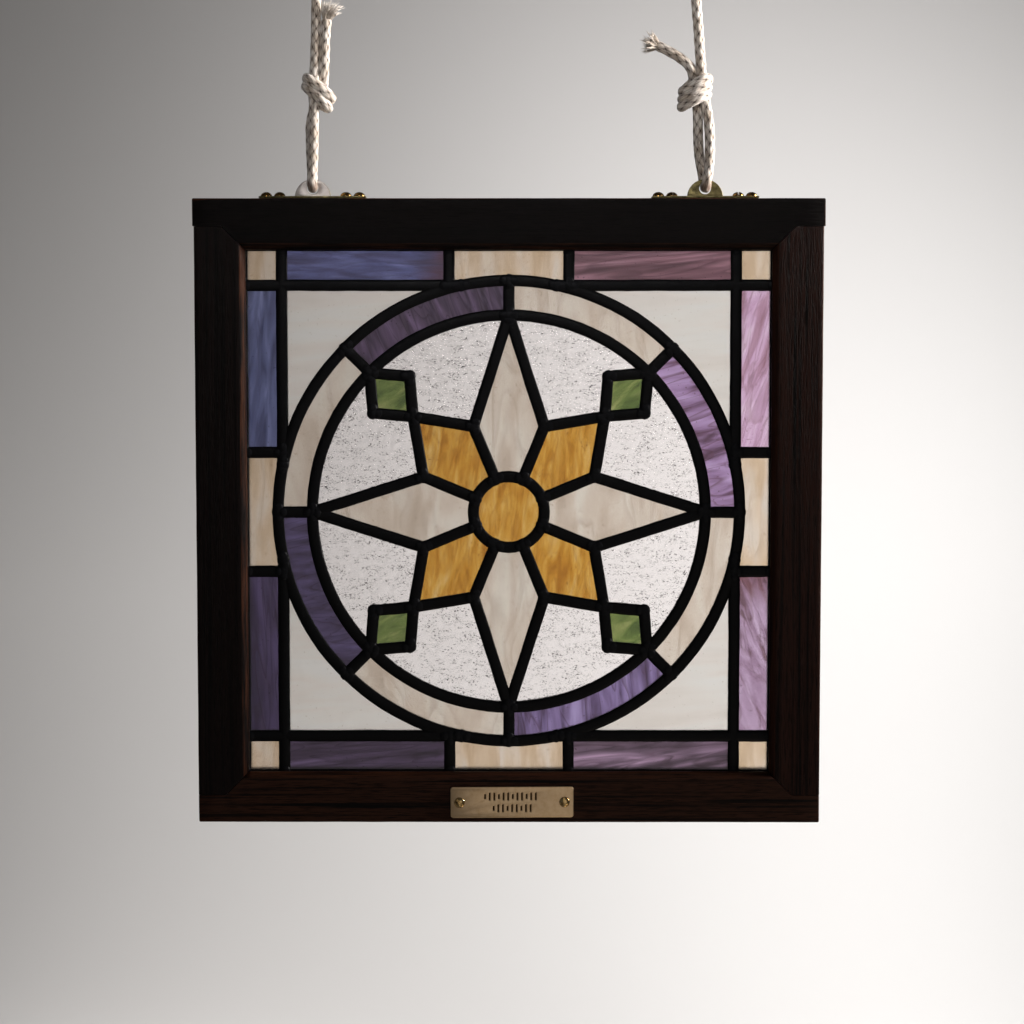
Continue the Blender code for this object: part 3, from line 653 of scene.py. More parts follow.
def makeMember(name, along, s):
    bm = mergedNode(name)
    edges = [
        edge for edge in bm.edges
        if len(edge.link_faces) == 2 and edge.calc_face_angle() > math.radians(20)
        and not any(isJoint(face, s) for face in edge.link_faces)
    ]
    bmesh.ops.bevel(
        bm, geom=edges, offset=s["rounding"], offset_type="OFFSET", segments=3, profile=0.5,
        affect="EDGES", clamp_overlap=True, material=-1,
    )
    low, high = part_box(name)
    axis, cross = Vector((1, 0, 0)), Vector((0, 0, 1))
    if along == "Z":
        axis, cross = cross, axis
    middle = Vector((0, 0, centreZ)).dot(cross)
    side = 1 if (low.dot(cross) + high.dot(cross)) / 2 > middle else -1
    for way in (Vector((0, 1, 0)), cross):
        cutAt(bm, way, low.dot(way) + s["fade"])
        cutAt(bm, way, high.dot(way) - s["fade"])
    for off in s["slopeCuts"]:
        cutAt(bm, cross, middle + side * (panelHalf - s["sightOverlap"] + off))
    first, last = low.dot(axis), high.dot(axis)
    count = round((last - first) / s["slice"])
    for k in range(1, count):
        cutAt(bm, axis, first + (last - first) * k / count)
    bm.normal_update()
    wear = bm.verts.layers.float.new("wear")
    for vert in bm.verts:  # worn where the surface turns, and nowhere on a flat
        flats = [face.normal for face in vert.link_faces if not isJoint(face, s)]
        vert[wear] = 1.0 if any(flats[0].dot(other) < s["turned"] for other in flats[1:]) else 0.0
        # The sloping inner edge takes the worn colour too, as painted light, by how lit each member's slope
        # is
        outward = max(abs(vert.co.x), abs(vert.co.z - centreZ)) - panelHalf + s["sightOverlap"]
        if -0.001 < outward < s["slopeCuts"][0] and vert.co.y < frameFront + s["slopeDepth"]:
            vert[wear] = max(vert[wear], s["slopeWearAndLight"][name])
        drift = noise.noise(vert.co * 60) - 0.5
        ding = max(0.0, noise.noise(vert.co * 260) - 0.30) * (1.0 if vert[wear] > 0.9 else 0.0)
        vert.co += vert.normal * (s["sway"] * min(0.0, drift) - s["dent"] * ding)
    oak = oakMaterial("stained_oak_" + name, s, along, s["brown"][name])
    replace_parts(addPiece(name + "_oak", bm, oak, 35), name)


def makeFrame():
    for name in ("frame_top_rail", "frame_bottom_rail", "frame_left_stile", "frame_right_stile"):
        makeMember(name, "X" if "rail" in name else "Z", woodSetup)
    beads = cadNodes["glazing_beads"].data
    beads.materials.clear()
    beads.materials.append(oakMaterial("stained_bead", woodSetup, "X", woodSetup["bead"]))


# Lead: each came is bent or cut to its line, and solder closes every joint on both sides

leadSetup = {
    "width": 0.00635,
    "heart": 0.0012,
    "rimHeight": 0.0019,    # from the middle of the thickness to the rim's outer edge
    "innerHeight": 0.0016,  # the putty fills what is left above the glass
    "slice": 0.004,
    "ringSteps": 120,
    "centreSteps": 40,
    "sway": 0.00016,
    "swayFrequencies": (170, 45),
    "near": 0.0004,         # how close to a lead a joint has to be to lie on it
    "solderRise": 0.00045,
    "solderSunk": 0.0006,
    "puddle": 0.0037,
    "lobe": (0.0034, 0.0031),  # a lobe's half length and half width along each lead
    "lobeOff": 0.0026,
    "bloom": 0.0041667,
    "scuff": 0.0011111,
    "patina": "#050609",
    "smoke": "#090A0E",
    "blueGrey": "#12141A",
    "rubbed": "#24262B",
}

panelLayout = {
    "edge": panelHalf - 0.00635 / 2,
    "border": panelHalf - 0.0254,
    "centrePane": 0.0335,
    "ringOuter": panelHalf - 0.0254 + 0.0028,
    "ringInner": panelHalf - 0.0254 + 0.0028 - 0.0193,
    "starCentre": 0.020,
    "starShoulder": 0.052,
    "shortTip": 0.076,
    "lozengeHalf": 0.0145,
}


def polar(radius, degrees):
    turn = math.radians(degrees)
    return Vector((radius * math.cos(turn), radius * math.sin(turn)))


def straightLeads(d):
    # Every straight came as its two ends, about the panel's middle
    edge, border, half = d["edge"], d["border"], d["centrePane"]
    reach = math.sqrt(d["ringOuter"] ** 2 - border ** 2)
    quarter = [
        (Vector((-edge, edge)), Vector((edge, edge))),
        (Vector((-edge, border)), Vector((-reach, border))),
        (Vector((reach, border)), Vector((edge, border))),
        (Vector((-half, border)), Vector((-half, edge))),
        (Vector((half, border)), Vector((half, edge))),
    ]
    for degrees in (0, 45):
        quarter.append((polar(d["ringInner"], degrees), polar(d["ringOuter"], degrees)))
    for degrees, radius in ((0, d["ringInner"]), (45, d["shortTip"])):
        for side in (-22.5, 22.5):
            shoulder = polar(d["starShoulder"], degrees + side)
            quarter.append((shoulder, polar(radius, degrees)))
    for degrees in (22.5, 67.5):
        quarter.append((polar(d["starCentre"], degrees), polar(d["starShoulder"], degrees)))
    middle = polar((d["shortTip"] + d["ringInner"]) / 2, 45)
    for side in (-1, 1):
        corner = middle + side * polar(d["lozengeHalf"], 135)
        quarter.append((polar(d["shortTip"], 45), corner))
        quarter.append((corner, polar(d["ringInner"], 45)))
    turns = [Matrix.Rotation(math.radians(90 * k), 2) for k in range(4)]
    return [(turn @ start, turn @ end) for turn in turns for start, end in quarter]


def inPanel(flat, height=0.0):
    # A point of the panel's face, height in front of the middle of the lead
    return Vector((flat[0], panelY - height, centreZ + flat[1]))


def cameProfile(s):
    # Half of an H section with a crowned face, from the rim on one side to the other
    half, crown = s["width"] / 2, (cameHigh.y - cameLow.y) / 2
    rim, inner, heart = s["rimHeight"], s["innerHeight"], s["heart"] / 2
    face = [(half, inner), (half, rim)]
    for share in (0.84, 0.5, 0.0, -0.5, -0.84):
        face.append((half * share, rim + (crown - rim) * math.sqrt(1 - share ** 2 * 0.92)))
    face += [(-half, rim), (-half, inner), (-heart, inner)]
    return face + [(-across, -height) for across, height in face]


def pour(bm, part):
    # Adds a small bmesh to the big one, which keeps every operator call short
    mesh = bpy.data.meshes.new("part")
    part.to_mesh(mesh)
    part.free()
    bm.from_mesh(mesh)
    bpy.data.meshes.remove(mesh)


def addStraightCame(bm, start, end, profile, s):
    along = (end - start).normalized()
    across = Vector((-along.y, along.x))
    verts = [bm.verts.new(inPanel(start + across * u, h)) for u, h in profile]
    face = bm.faces.new(verts)
    steps = max(2, round((end - start).length / s["slice"]))
    travel = inPanel(end) - inPanel(start)
    bmesh.ops.spin(
        bm, geom=[*verts, *face.edges, face], cent=(0, 0, 0), axis=(0, 1, 0), dvec=travel / steps,
        angle=0.0, steps=steps,
    )


def addRoundCame(bm, radius, profile, steps):
    verts = [bm.verts.new(inPanel((radius + u, 0), h)) for u, h in profile]
    edges = [bm.edges.new((a, b)) for a, b in zip(verts, verts[1:] + verts[:1])]
    bmesh.ops.spin(
        bm, geom=[*verts, *edges], cent=inPanel((0, 0)), axis=(0, 1, 0), angle=2 * math.pi,
        steps=steps, use_merge=True,
    )


def jointsOf(leads, rings, near):
    # Where cames meet: each place with the directions that they leave it in
    found = {}
    for start, end in leads:
        for place, other in ((start, end), (end, start)):
            key = (round(place.x, 4), round(place.y, 4))
            found.setdefault(key, []).append((other - place).normalized())
    for key, ways in found.items():
        place = Vector(key)
        for start, end in leads:
            along = (end - start).normalized()
            run = (place - start).dot(along)
            off = (place - start - along * run).length
            if off < near and 0.001 < run < (end - start).length - 0.001:
                ways += [along, -along]
        for radius in rings:
            if abs(place.length - radius) < near:
                tangent = Vector((-place.y, place.x)).normalized()
                ways += [tangent, -tangent]
    return found


def addSolder(bm, place, ways, side, rng, s):
    # A low puddle at the joint that runs a little way up each came
    base = (cameHigh.y - cameLow.y) / 2 - s["solderSunk"]
    rise = s["solderRise"] + s["solderSunk"]
    lobes = [(Vector((0, 0)), Vector((1, 0)), s["puddle"], s["puddle"])]
    for way in ways:
        length, width = s["lobe"][0] * rng.uniform(0.85, 1.2), s["lobe"][1] * rng.uniform(0.95, 1.06)
        lobes.append((way * s["lobeOff"], way, length, width))
    for off, way, length, width in lobes:
        turn = Matrix.Rotation(-math.atan2(way.y, way.x), 4, "Y")
        size = Matrix.Diagonal((length, rise * rng.uniform(0.8, 1.0), width, 1))
        spot = Matrix.Translation(inPanel(Vector(place) + off, side * base))
        bmesh.ops.create_icosphere(bm, subdivisions=2, radius=1, matrix=spot @ turn @ size)


def leadMaterial(name, s):
    # Lead came and tin solder under black patina: dull metal with blue-grey bloom
    made, tree, shader = newMaterial(name, {"Metallic": 0.4, "Specular IOR Level": 0.22})
    place = addNode(tree, "TexCoord", {}, "Object")
    solder = addNode(tree, "Attribute", {"attribute_name": "solder"}, "Fac")
    cloud = addNode(tree, "TexNoise", {
        "Vector": place, "Scale": 1 / s["bloom"], "Detail": 6.0, "Roughness": 0.65,
    })
    tone = addNode(tree, "ValToRGB", {
        "stops": [(0.35, s["patina"]), (0.6, s["smoke"]), (0.78, s["blueGrey"])], "Fac": cloud,
    })
    tinned = addNode(tree, "Math", {"operation": "MULTIPLY", 0: solder, 1: 0.45})
    shade = addNode(tree, "Mix", {"data_type": "RGBA", 0: tinned, 6: tone, 7: s["blueGrey"]}, 2)
    scuff = addNode(tree, "TexNoise", {"Vector": place, "Scale": 1 / s["scuff"], "Detail": 3.0})
    rubbed = addNode(tree, "MapRange", {
        "Value": scuff, "From Min": 0.64, "From Max": 0.74, "To Max": 0.5,
    })
    setInputs(tree, shader, {
        "Base Color": addNode(tree, "Mix", {"data_type": "RGBA", 0: rubbed, 6: shade, 7: s["rubbed"]}, 2),
        "Roughness": addNode(tree, "MapRange", {
            "Value": cloud, "From Min": 0.3, "From Max": 0.7, "To Min": 0.34, "To Max": 0.58,
        }),
        "Normal": addNode(tree, "Bump", {"Strength": 0.4, "Distance": 0.0002, "Height": cloud}),
    })
    return made


def makeLead():
    s, d = leadSetup, panelLayout
    profile = cameProfile(s)
    leads = straightLeads(d)
    rings = (d["ringOuter"], d["ringInner"], d["starCentre"])
    joints = jointsOf(leads, rings, s["near"])
    bm = bmesh.new()
    solder = bm.verts.layers.float.new("solder")
    for start, end in leads:
        part = bmesh.new()
        addStraightCame(part, start, end, profile, s)
        pour(bm, part)
    for radius, steps in zip(rings, (s["ringSteps"], s["ringSteps"], s["centreSteps"])):
        part = bmesh.new()
        addRoundCame(part, radius, profile, steps)
        pour(bm, part)
    cameVerts = len(bm.verts)
    rng = random.Random(7)
    for place, ways in joints.items():
        part = bmesh.new()
        for side in (1, -1):
            addSolder(part, place, ways, side, rng, s)
        pour(bm, part)
    for vert in list(bm.verts)[cameVerts:]:
        vert[solder] = 1.0
    bmesh.ops.recalc_face_normals(bm, faces=bm.faces)
    fine, broad = s["swayFrequencies"]
    for vert in bm.verts:
        off = noise.noise_vector(vert.co * fine) * s["sway"] + noise.noise_vector(vert.co * broad) * s["sway"]
        off.y *= 0.6
        vert.co += off
        vert.co.x = max(-panelHalf, min(panelHalf, vert.co.x))
        vert.co.z = max(cameLow.z, min(cameHigh.z, vert.co.z))
    piece = addPiece("lead_and_solder", bm, leadMaterial("black_patina_lead", s), 50)
    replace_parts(piece, "lead_came")
    faces = len(piece.data.polygons)
    print("lead:", len(leads) + len(rings), "cames,", len(joints), "joints,", faces, "faces")


# Glass: every pane has its own streaks, laid the way its sheet was rolled
# A streak's length and width are in metres, and tilt is its slope in degrees

glassSetup = {
    "cream": {
        "panes": ("corner_pane_1", "corner_pane_2", "corner_pane_3", "corner_pane_4",
                  "centre_pane_top", "centre_pane_left", "centre_pane_bottom", "centre_pane_right"),
        "tones": ("#DABE9C", "#EBD2B4", "#F4DEC6", "#F7EDE2"), "thread": "#B79C7B",
        "threads": 0.25, "streak": (0.040, 0.006), "tilt": 90, "swirl": 0.5, "frost": 0.25,
    },
    "opal": {
        "panes": ("ring_pane_2", "ring_pane_4", "ring_pane_6", "ring_pane_8",
                  "star_long_point_1", "star_long_point_2", "star_long_point_3", "star_long_point_4"),
        "tones": ("#DACABA", "#E6D7C7", "#EEE2D5", "#F3ECE1"), "thread": "#A8947E",
        "threads": 0.3, "streak": (0.040, 0.008), "tilt": 90, "swirl": 0.5, "frost": 0.2,
    },
    "white": {
        "panes": ("spandrel_1", "spandrel_2", "spandrel_3", "spandrel_4"),
        "tones": ("#F1EBE4", "#F9F3ED", "#FAF8F3", "#FAFAF8"), "thread": "#D6D0C6",
        "threads": 0.06, "streak": (0.060, 0.0060), "tilt": 4, "swirl": 0.5, "frost": 0.3,
    },
    "amber": {
        "panes": ("star_centre", "star_short_point_1", "star_short_point_2", "star_short_point_3",
                  "star_short_point_4"),
        "tones": ("#BC7A18", "#D89B2C", "#E8B24C", "#F3CC7E"), "thread": "#94560E",
        "threads": 0.35, "streak": (0.022, 0.0035), "tilt": 84, "swirl": 0.9, "frost": 0.25,
    },
    "green": {
        "panes": ("star_lozenge_1", "star_lozenge_2", "star_lozenge_3", "star_lozenge_4"),
        "tones": ("#4E6430", "#6A803E", "#83934E", "#A2A86C"), "thread": "#3A4A22",
        "threads": 0.25, "streak": (0.018, 0.004), "tilt": 35, "swirl": 0.8, "frost": 0.2,
    },
    "blueTop": {
        "panes": ("strip_top_a",),
        "tones": ("#3E3F65", "#575B90", "#6B71AC", "#8E94CD"), "thread": "#44375F",
        "threads": 0.5, "streak": (0.055, 0.0048), "tilt": -4, "swirl": 1.5, "frost": 0.2,
        "end": {"colour": "#5C3F58", "axis": "X", "from": -0.052, "to": -0.040},
    },
    "blueLeft": {
        "panes": ("strip_left_b",),
        "tones": ("#3E436C", "#586090", "#6E77AA", "#949CD0"), "thread": "#3E3B61",
        "threads": 0.4, "streak": (0.050, 0.0048), "tilt": 86, "swirl": 1.4, "frost": 0.3,
    },
    "mauveTop": {
        "panes": ("strip_top_b",),
        "tones": ("#3D262F", "#77505D", "#9B6F7E", "#D4A3B9"), "thread": "#452A36",
        "threads": 0.65, "streak": (0.080, 0.0050), "tilt": 5, "swirl": 1.2, "frost": 0.3,
    },
    "mauveBottom": {
        "panes": ("strip_bottom_a",),
        "tones": ("#2D222C", "#594858", "#8A718B", "#CFADCF"), "thread": "#3E2B38",
        "threads": 0.7, "streak": (0.075, 0.0060), "tilt": 9, "swirl": 1.3, "frost": 0.3,
    },
    "plumBottom": {
        "panes": ("strip_bottom_b",),
        "tones": ("#1C1321", "#44354E", "#574665", "#705D83"), "thread": "#26192B",
        "threads": 0.6, "streak": (0.075, 0.0048), "tilt": 6, "swirl": 1.1, "frost": 0.3,
    },
    "violetLeft": {
        "panes": ("strip_left_a",),
        "tones": ("#2F2440", "#403458", "#4E4069", "#60517E"), "thread": "#2C192D",
        "threads": 0.6, "streak": (0.060, 0.0050), "tilt": 93, "swirl": 1.0, "frost": 0.3,
    },
    "lilacUpper": {
        "panes": ("strip_right_a",),
        "tones": ("#B2859B", "#D8B0D4", "#EBC8EB", "#FAE3FA"), "thread": "#8A5E62",
        "threads": 0.55, "streak": (0.060, 0.0085), "tilt": 72, "swirl": 2.2, "frost": 0.2,
    },
    "lilacLower": {
        "panes": ("strip_right_b",),
        "tones": ("#694953", "#AB8BAC", "#C1A5C6", "#D5BDDB"), "thread": "#603C3F",
        "threads": 0.6, "streak": (0.050, 0.0080), "tilt": 112, "swirl": 2.4, "frost": 0.2,
        "end": {"colour": "#7C5058", "axis": "Z", "from": -0.050, "to": -0.034},
    },
    "ringLilac": {
        "panes": ("ring_pane_1",),
        "tones": ("#583D52", "#9D7BA7", "#BFA0D1", "#DDC0F2"), "thread": "#5F3C4A",
        "threads": 0.8, "streak": (0.040, 0.0042), "tilt": 14, "swirl": 0.9, "frost": 0.3,
    },
    "ringPlum": {
        "panes": ("ring_pane_3",),
        "tones": ("#271A2F", "#473552", "#5D4869", "#79628A"), "thread": "#2C1C2C",
        "threads": 0.7, "streak": (0.030, 0.0030), "tilt": -68, "swirl": 0.8, "frost": 0.3,
    },
    "ringViolet": {
        "panes": ("ring_pane_5",),
        "tones": ("#362B46", "#493D60", "#594D77", "#6E6193"), "thread": "#31202F",
        "threads": 0.6, "streak": (0.030, 0.0036), "tilt": 10, "swirl": 0.7, "frost": 0.3,
    },
    "ringHeather": {
        "panes": ("ring_pane_7",),
        "tones": ("#4B3A55", "#7E6B9C", "#9985B9", "#B6A5D8"), "thread": "#462F46",
        "threads": 0.8, "streak": (0.036, 0.0034), "tilt": 97, "swirl": 0.7, "frost": 0.3,
    },
}


sheetSetup = {
    "grit": 0.0016129,    # spacing of the specks in the glass
    "ripple": 0.0066667,  # and of the ripples in its face
}


def streakedGlass(name, s):
    # Rolled art glass: the light from behind shows in soft streaks, and the face is fire polished
    made, tree, shader = newMaterial(name, {
        "Roughness": s["frost"], "IOR": 1.52, "Transmission Weight": 0.9, "Coat Weight": 0.5,
        "Coat Roughness": 0.05, "Coat IOR": 1.5,
    })
    place = addNode(tree, "TexCoord", {}, "Object")
    length, width = s["streak"]
    streaks = []
    for longer, wider, detail in ((1.0, 1.5, 2.5), (1.5, 2.4, 1.5)):
        stretched = addNode(tree, "Mapping", {
            "vector_type": "TEXTURE", "Vector": place, "Rotation": (0, -math.radians(s["tilt"]), 0),
            "Scale": (length * longer, width * wider, width * wider),
        })
        streaks.append(addNode(tree, "TexNoise", {
            "Vector": stretched, "Scale": 1.0, "Detail": detail, "Roughness": 0.5,
            "Distortion": s["swirl"],
        }))
    flow, lines = streaks
    colour = addNode(tree, "ValToRGB", {
        "stops": list(zip((0.32, 0.44, 0.56, 0.68), s["tones"])), "Fac": flow,
    })
    # Thin threads of a darker glass, each sharp on one side and faded on the other, and specks
    thread = addNode(tree, "ValToRGB", {
        "stops": [(0.455, 0.0), (0.468, 1.0), (0.476, 1.0), (0.53, 0.0)], "Fac": lines,
    })
    amount = addNode(tree, "Math", {"operation": "MULTIPLY", 0: thread, 1: s["threads"]})
    grit = addNode(tree, "TexNoise", {"Vector": place, "Scale": 1 / sheetSetup["grit"], "Detail": 1.0})
    specks = addNode(tree, "MapRange", {
        "Value": grit, "From Min": 0.71, "From Max": 0.76, "To Max": 0.75,
    })
    for share in (amount, specks):
        colour = addNode(tree, "Mix", {"data_type": "RGBA", 0: share, 6: colour, 7: s["thread"]}, 2)
    if "end" in s:  # another colour runs in towards one end of the pane
        end = s["end"]
        shift = addNode(tree, "MapRange", {
            "Value": flow, "From Min": 0.3, "From Max": 0.7, "To Min": -0.010, "To Max": 0.010,
        })
        moved = addNode(tree, "Math", {
            "operation": "ADD", 0: addNode(tree, "SeparateXYZ", {"Vector": place}, end["axis"]), 1: shift,
        })
        base = centreZ if end["axis"] == "Z" else 0.0
        share = addNode(tree, "MapRange", {
            "Value": moved, "From Min": base + end["from"], "From Max": base + end["to"],
        })
        colour = addNode(tree, "Mix", {"data_type": "RGBA", 0: share, 6: colour, 7: end["colour"]}, 2)
    ripple = addNode(tree, "TexNoise", {"Vector": place, "Scale": 1 / sheetSetup["ripple"], "Detail": 2.0})
    bump = addNode(tree, "Bump", {"Strength": 0.25, "Distance": 0.0004, "Height": ripple})
    setInputs(tree, shader, {"Base Color": colour, "Normal": bump, "Coat Normal": bump})
    return made


clearSetup = {
    "grid": 0.0008,
    "quickGrid": 0.004,
    "ripple": (0.0036, 0.0018),  # a ripple's length along the sheet and its width
    "depth": 0.00014,
    "seed": (0.0012, 0.00060),
    "rows": (0.009, 0.0030),     # the rows that the dark seeds gather in
    "glass": "#FCF8F8",
    "speck": "#0E0C0C",
}


def clearGlass(name, s):
    # Clear hammered window glass: see-through, with small dark seeds in loose rows
    made, tree, shader = newMaterial(name, {"Roughness": 0.04, "IOR": 1.52, "Transmission Weight": 1.0})
    place = addNode(tree, "TexCoord", {}, "Object")
    spread = {}
    for key, values in (
        ("seed", {"Detail": 3.0, "Roughness": 0.6, "Distortion": 0.8}),
        ("rows", {"Detail": 2.0, "Distortion": 0.6}),
    ):
        length, width = s[key]
        stretched = addNode(tree, "Mapping", {
            "vector_type": "TEXTURE", "Vector": place, "Scale": (length, width, width),
        })
        spread[key] = addNode(tree, "TexNoise", {"Vector": stretched, "Scale": 1.0, **values})
    seeds = addNode(tree, "MapRange", {"Value": spread["seed"], "From Min": 0.575, "From Max": 0.605})
    clusters = addNode(tree, "MapRange", {
        "Value": spread["rows"], "From Min": 0.47, "From Max": 0.56, "To Min": 0.07,
    })
    amount = addNode(tree, "Math", {"operation": "MULTIPLY", 0: seeds, 1: clusters})
    setInputs(tree, shader, {
        "Base Color": addNode(tree, "Mix", {"data_type": "RGBA", 0: amount, 6: s["glass"], 7: s["speck"]}, 2),
        "Normal": addNode(tree, "Bump", {"Strength": 0.6, "Distance": 0.0002, "Height": spread["seed"]}),
    })
    return made


def makeClearPane(name, material, s):
    # The pane's own outline, sliced both ways and pressed into ripples on both faces
    bm = mergedNode(name)
    low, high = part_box(name)
    grid = s["grid"]
    for axis in (Vector((1, 0, 0)), Vector((0, 0, 1))):
        first, last = low.dot(axis), high.dot(axis)
        count = round((last - first) / grid)
        for k in range(1, count):
            cutAt(bm, axis, first + (last - first) * k / count)
    length, width = s["ripple"]
    middle = (low.y + high.y) / 2
    for vert in bm.verts:
        side = -1 if vert.co.y < middle else 1
        spot = Vector((vert.co.x / length, side * 7.3, vert.co.z / width))
        height = noise.noise(spot) + 0.5 * noise.noise(spot * 2.1)
        vert.co.y -= side * s["depth"] * max(0.0, 0.55 + height)
    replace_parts(addPiece(name + "_rippled", bm, material, 180), name)


def makeGlass():
    for key, s in glassSetup.items():
        glass = streakedGlass(key + "_art_glass", s)
        for name in s["panes"]:
            pane = cadNodes[name].data
            pane.materials.clear()
            pane.materials.append(glass)
    clear = clearGlass("clear_hammered_glass", clearSetup)
    for k in range(8):
        makeClearPane(f"star_ground_{k + 1}", clear, clearSetup)


# Brass: two hangers with their screws, and the title plate

brassSetup = {
    "hanger": {"metal": "#766C49", "dull": "#655D3F", "stain": "#4C4630", "gloss": (0.36, 0.55),
               "brush": 0.12},
    # painted reflection: the grey of the pale wall, on a polished metal that also reflects in the render
    "eyeReflectionGrey": {"metal": "#B4AEAA", "dull": "#AEA7A3", "stain": "#9C9692", "gloss": (0.40, 0.44),
               "brush": 0.0},
    "plate": {"metal": "#DFC39D", "dull": "#DBBE97", "stain": "#D3B48B", "gloss": (0.28, 0.34),
              "brush": 0.06},
    "stamped": {"metal": "#4A3A29", "dull": "#423323", "stain": "#37291B", "gloss": (0.4, 0.5),
                "brush": 0.12},
    "oldScrew": {"metal": "#B08A4A", "dull": "#7A5C34", "stain": "#33261A", "gloss": (0.16, 0.30),
                 "brush": 0.12},
    "screw": {"metal": "#E8CC94", "dull": "#C2A26C", "stain": "#5E4C2C", "gloss": (0.12, 0.24),
              "brush": 0.12},
    "tarnish": 0.003125,
    "brushMark": (0.02, 0.00012, 0.00012),
}

hangerSetup = {
    "strapThick": 0.0012,
    "rounding": 0.00025,
    "eyeRadius": 0.010,
    "eyeRise": 0.001,
    "eyeThick": 0.0014,
    "holeRadius": 0.0033,
    "holeRise": 0.006,
    "screws": (-0.026, -0.0185, 0.0185, 0.026),
    "headRadius": 0.00325,
    "headHeight": 0.0025,
    "slot": 0.0004,
    "slotFloor": 0.35,     # the slot's floor as a share of the head's height
    "gap": 0.0003,
}


def brassMaterial(name, s):
    # Brass, buffed and left to dull: warm metal with brown-green tarnish in patches
    made, tree, shader = newMaterial(name, {"Metallic": 1.0})
    place = addNode(tree, "TexCoord", {}, "Object")
    cloud = addNode(tree, "TexNoise", {
        "Vector": place, "Scale": 1 / brassSetup["tarnish"], "Detail": 5.0, "Roughness": 0.6,
    })
    brushed = addNode(tree, "Mapping", {
        "vector_type": "TEXTURE", "Vector": place, "Scale": brassSetup["brushMark"],
    })
    lines = addNode(tree, "TexNoise", {"Vector": brushed, "Scale": 1.0, "Detail": 2.0})
    setInputs(tree, shader, {
        "Base Color": addNode(tree, "ValToRGB", {
            "stops": [(0.30, s["stain"]), (0.48, s["dull"]), (0.62, s["metal"])], "Fac": cloud,
        }),
        "Roughness": addNode(tree, "MapRange", {
            "Value": cloud, "From Min": 0.65, "From Max": 0.35, "To Min": s["gloss"][0],
            "To Max": s["gloss"][1],
        }),
        "Normal": addNode(tree, "Bump", {"Strength": s["brush"], "Distance": 0.0001, "Height": lines}),
    })
    return made


def sheetPart(outlines, thickness, rounding):
    # A flat outline with holes, given its thickness and rounded edges, upright in the X-Z plane
    data = bpy.data.curves.new("outline", "CURVE")
    data.dimensions = "2D"
    data.fill_mode = "BOTH"
    data.extrude = thickness / 2 - rounding
    data.bevel_depth = rounding
    data.bevel_resolution = 2
    data.offset = -rounding
    for outline in outlines:
        spline = data.splines.new("POLY")
        spline.points.add(len(outline) - 1)
        for point, (x, z) in zip(spline.points, outline):
            point.co = (x, z, 0, 1)
        spline.use_cyclic_u = True
    shape = bpy.data.objects.new("outline", data)
    bpy.context.scene.collection.objects.link(shape)
    bpy.context.view_layer.update()
    seen = shape.evaluated_get(bpy.context.evaluated_depsgraph_get())
    mesh = bpy.data.meshes.new_from_object(seen)
    bm = bmesh.new()
    bm.from_mesh(mesh)
    bmesh.ops.rotate(bm, verts=bm.verts, matrix=Matrix.Rotation(math.pi / 2, 3, "X"))
    bmesh.ops.remove_doubles(bm, verts=bm.verts, dist=0.000005)
    bpy.data.objects.remove(shape, do_unlink=True)
    bpy.data.curves.remove(data)
    bpy.data.meshes.remove(mesh)
    return bm


def circle(radius, rise, count, start=0.0, sweep=2 * math.pi):
    share = count if sweep > 6.28 else count - 1
    turns = [start + sweep * k / share for k in range(count)]
    return [(radius * math.cos(turn), radius * math.sin(turn) + rise) for turn in turns]


headSetup = {
    "around": 28,
    "rings": 14,
    "sunk": 0.0004,  # how far the head goes down into its seat
}


def slottedHead(s):
    # A round head in two halves with the slot's floor between them, its seat at the origin
    bm = bmesh.new()
    half, radius, height = s["slot"], s["headRadius"], s["headHeight"]
    for way, share in (((1, 0, 0), 1.0), ((-1, 0, 0), 1.0), (None, s["slotFloor"])):
        part = bmesh.new()
        bmesh.ops.create_uvsphere(
            part, u_segments=headSetup["around"], v_segments=headSetup["rings"], radius=1)
        bmesh.ops.scale(part, verts=part.verts, vec=(radius, radius, height * share))
        planes = [((0, 0, -headSetup["sunk"]), (0, 0, -1))]
        if way is None:
            planes += [((half, 0, 0), (1, 0, 0)), ((-half, 0, 0), (-1, 0, 0))]
        else:
            planes.append((Vector(way) * half, -Vector(way)))
        for spot, facing in planes:
            cut = bmesh.ops.bisect_plane(
                part, geom=part.verts[:] + part.edges[:] + part.faces[:], plane_co=spot,
                plane_no=facing, clear_outer=True)
            rim = [edge for edge in cut["geom_cut"] if isinstance(edge, bmesh.types.BMEdge)]
            bmesh.ops.holes_fill(part, edges=rim, sides=0)
        pour(bm, part)
    bmesh.ops.recalc_face_normals(bm, faces=bm.faces)
    return bm


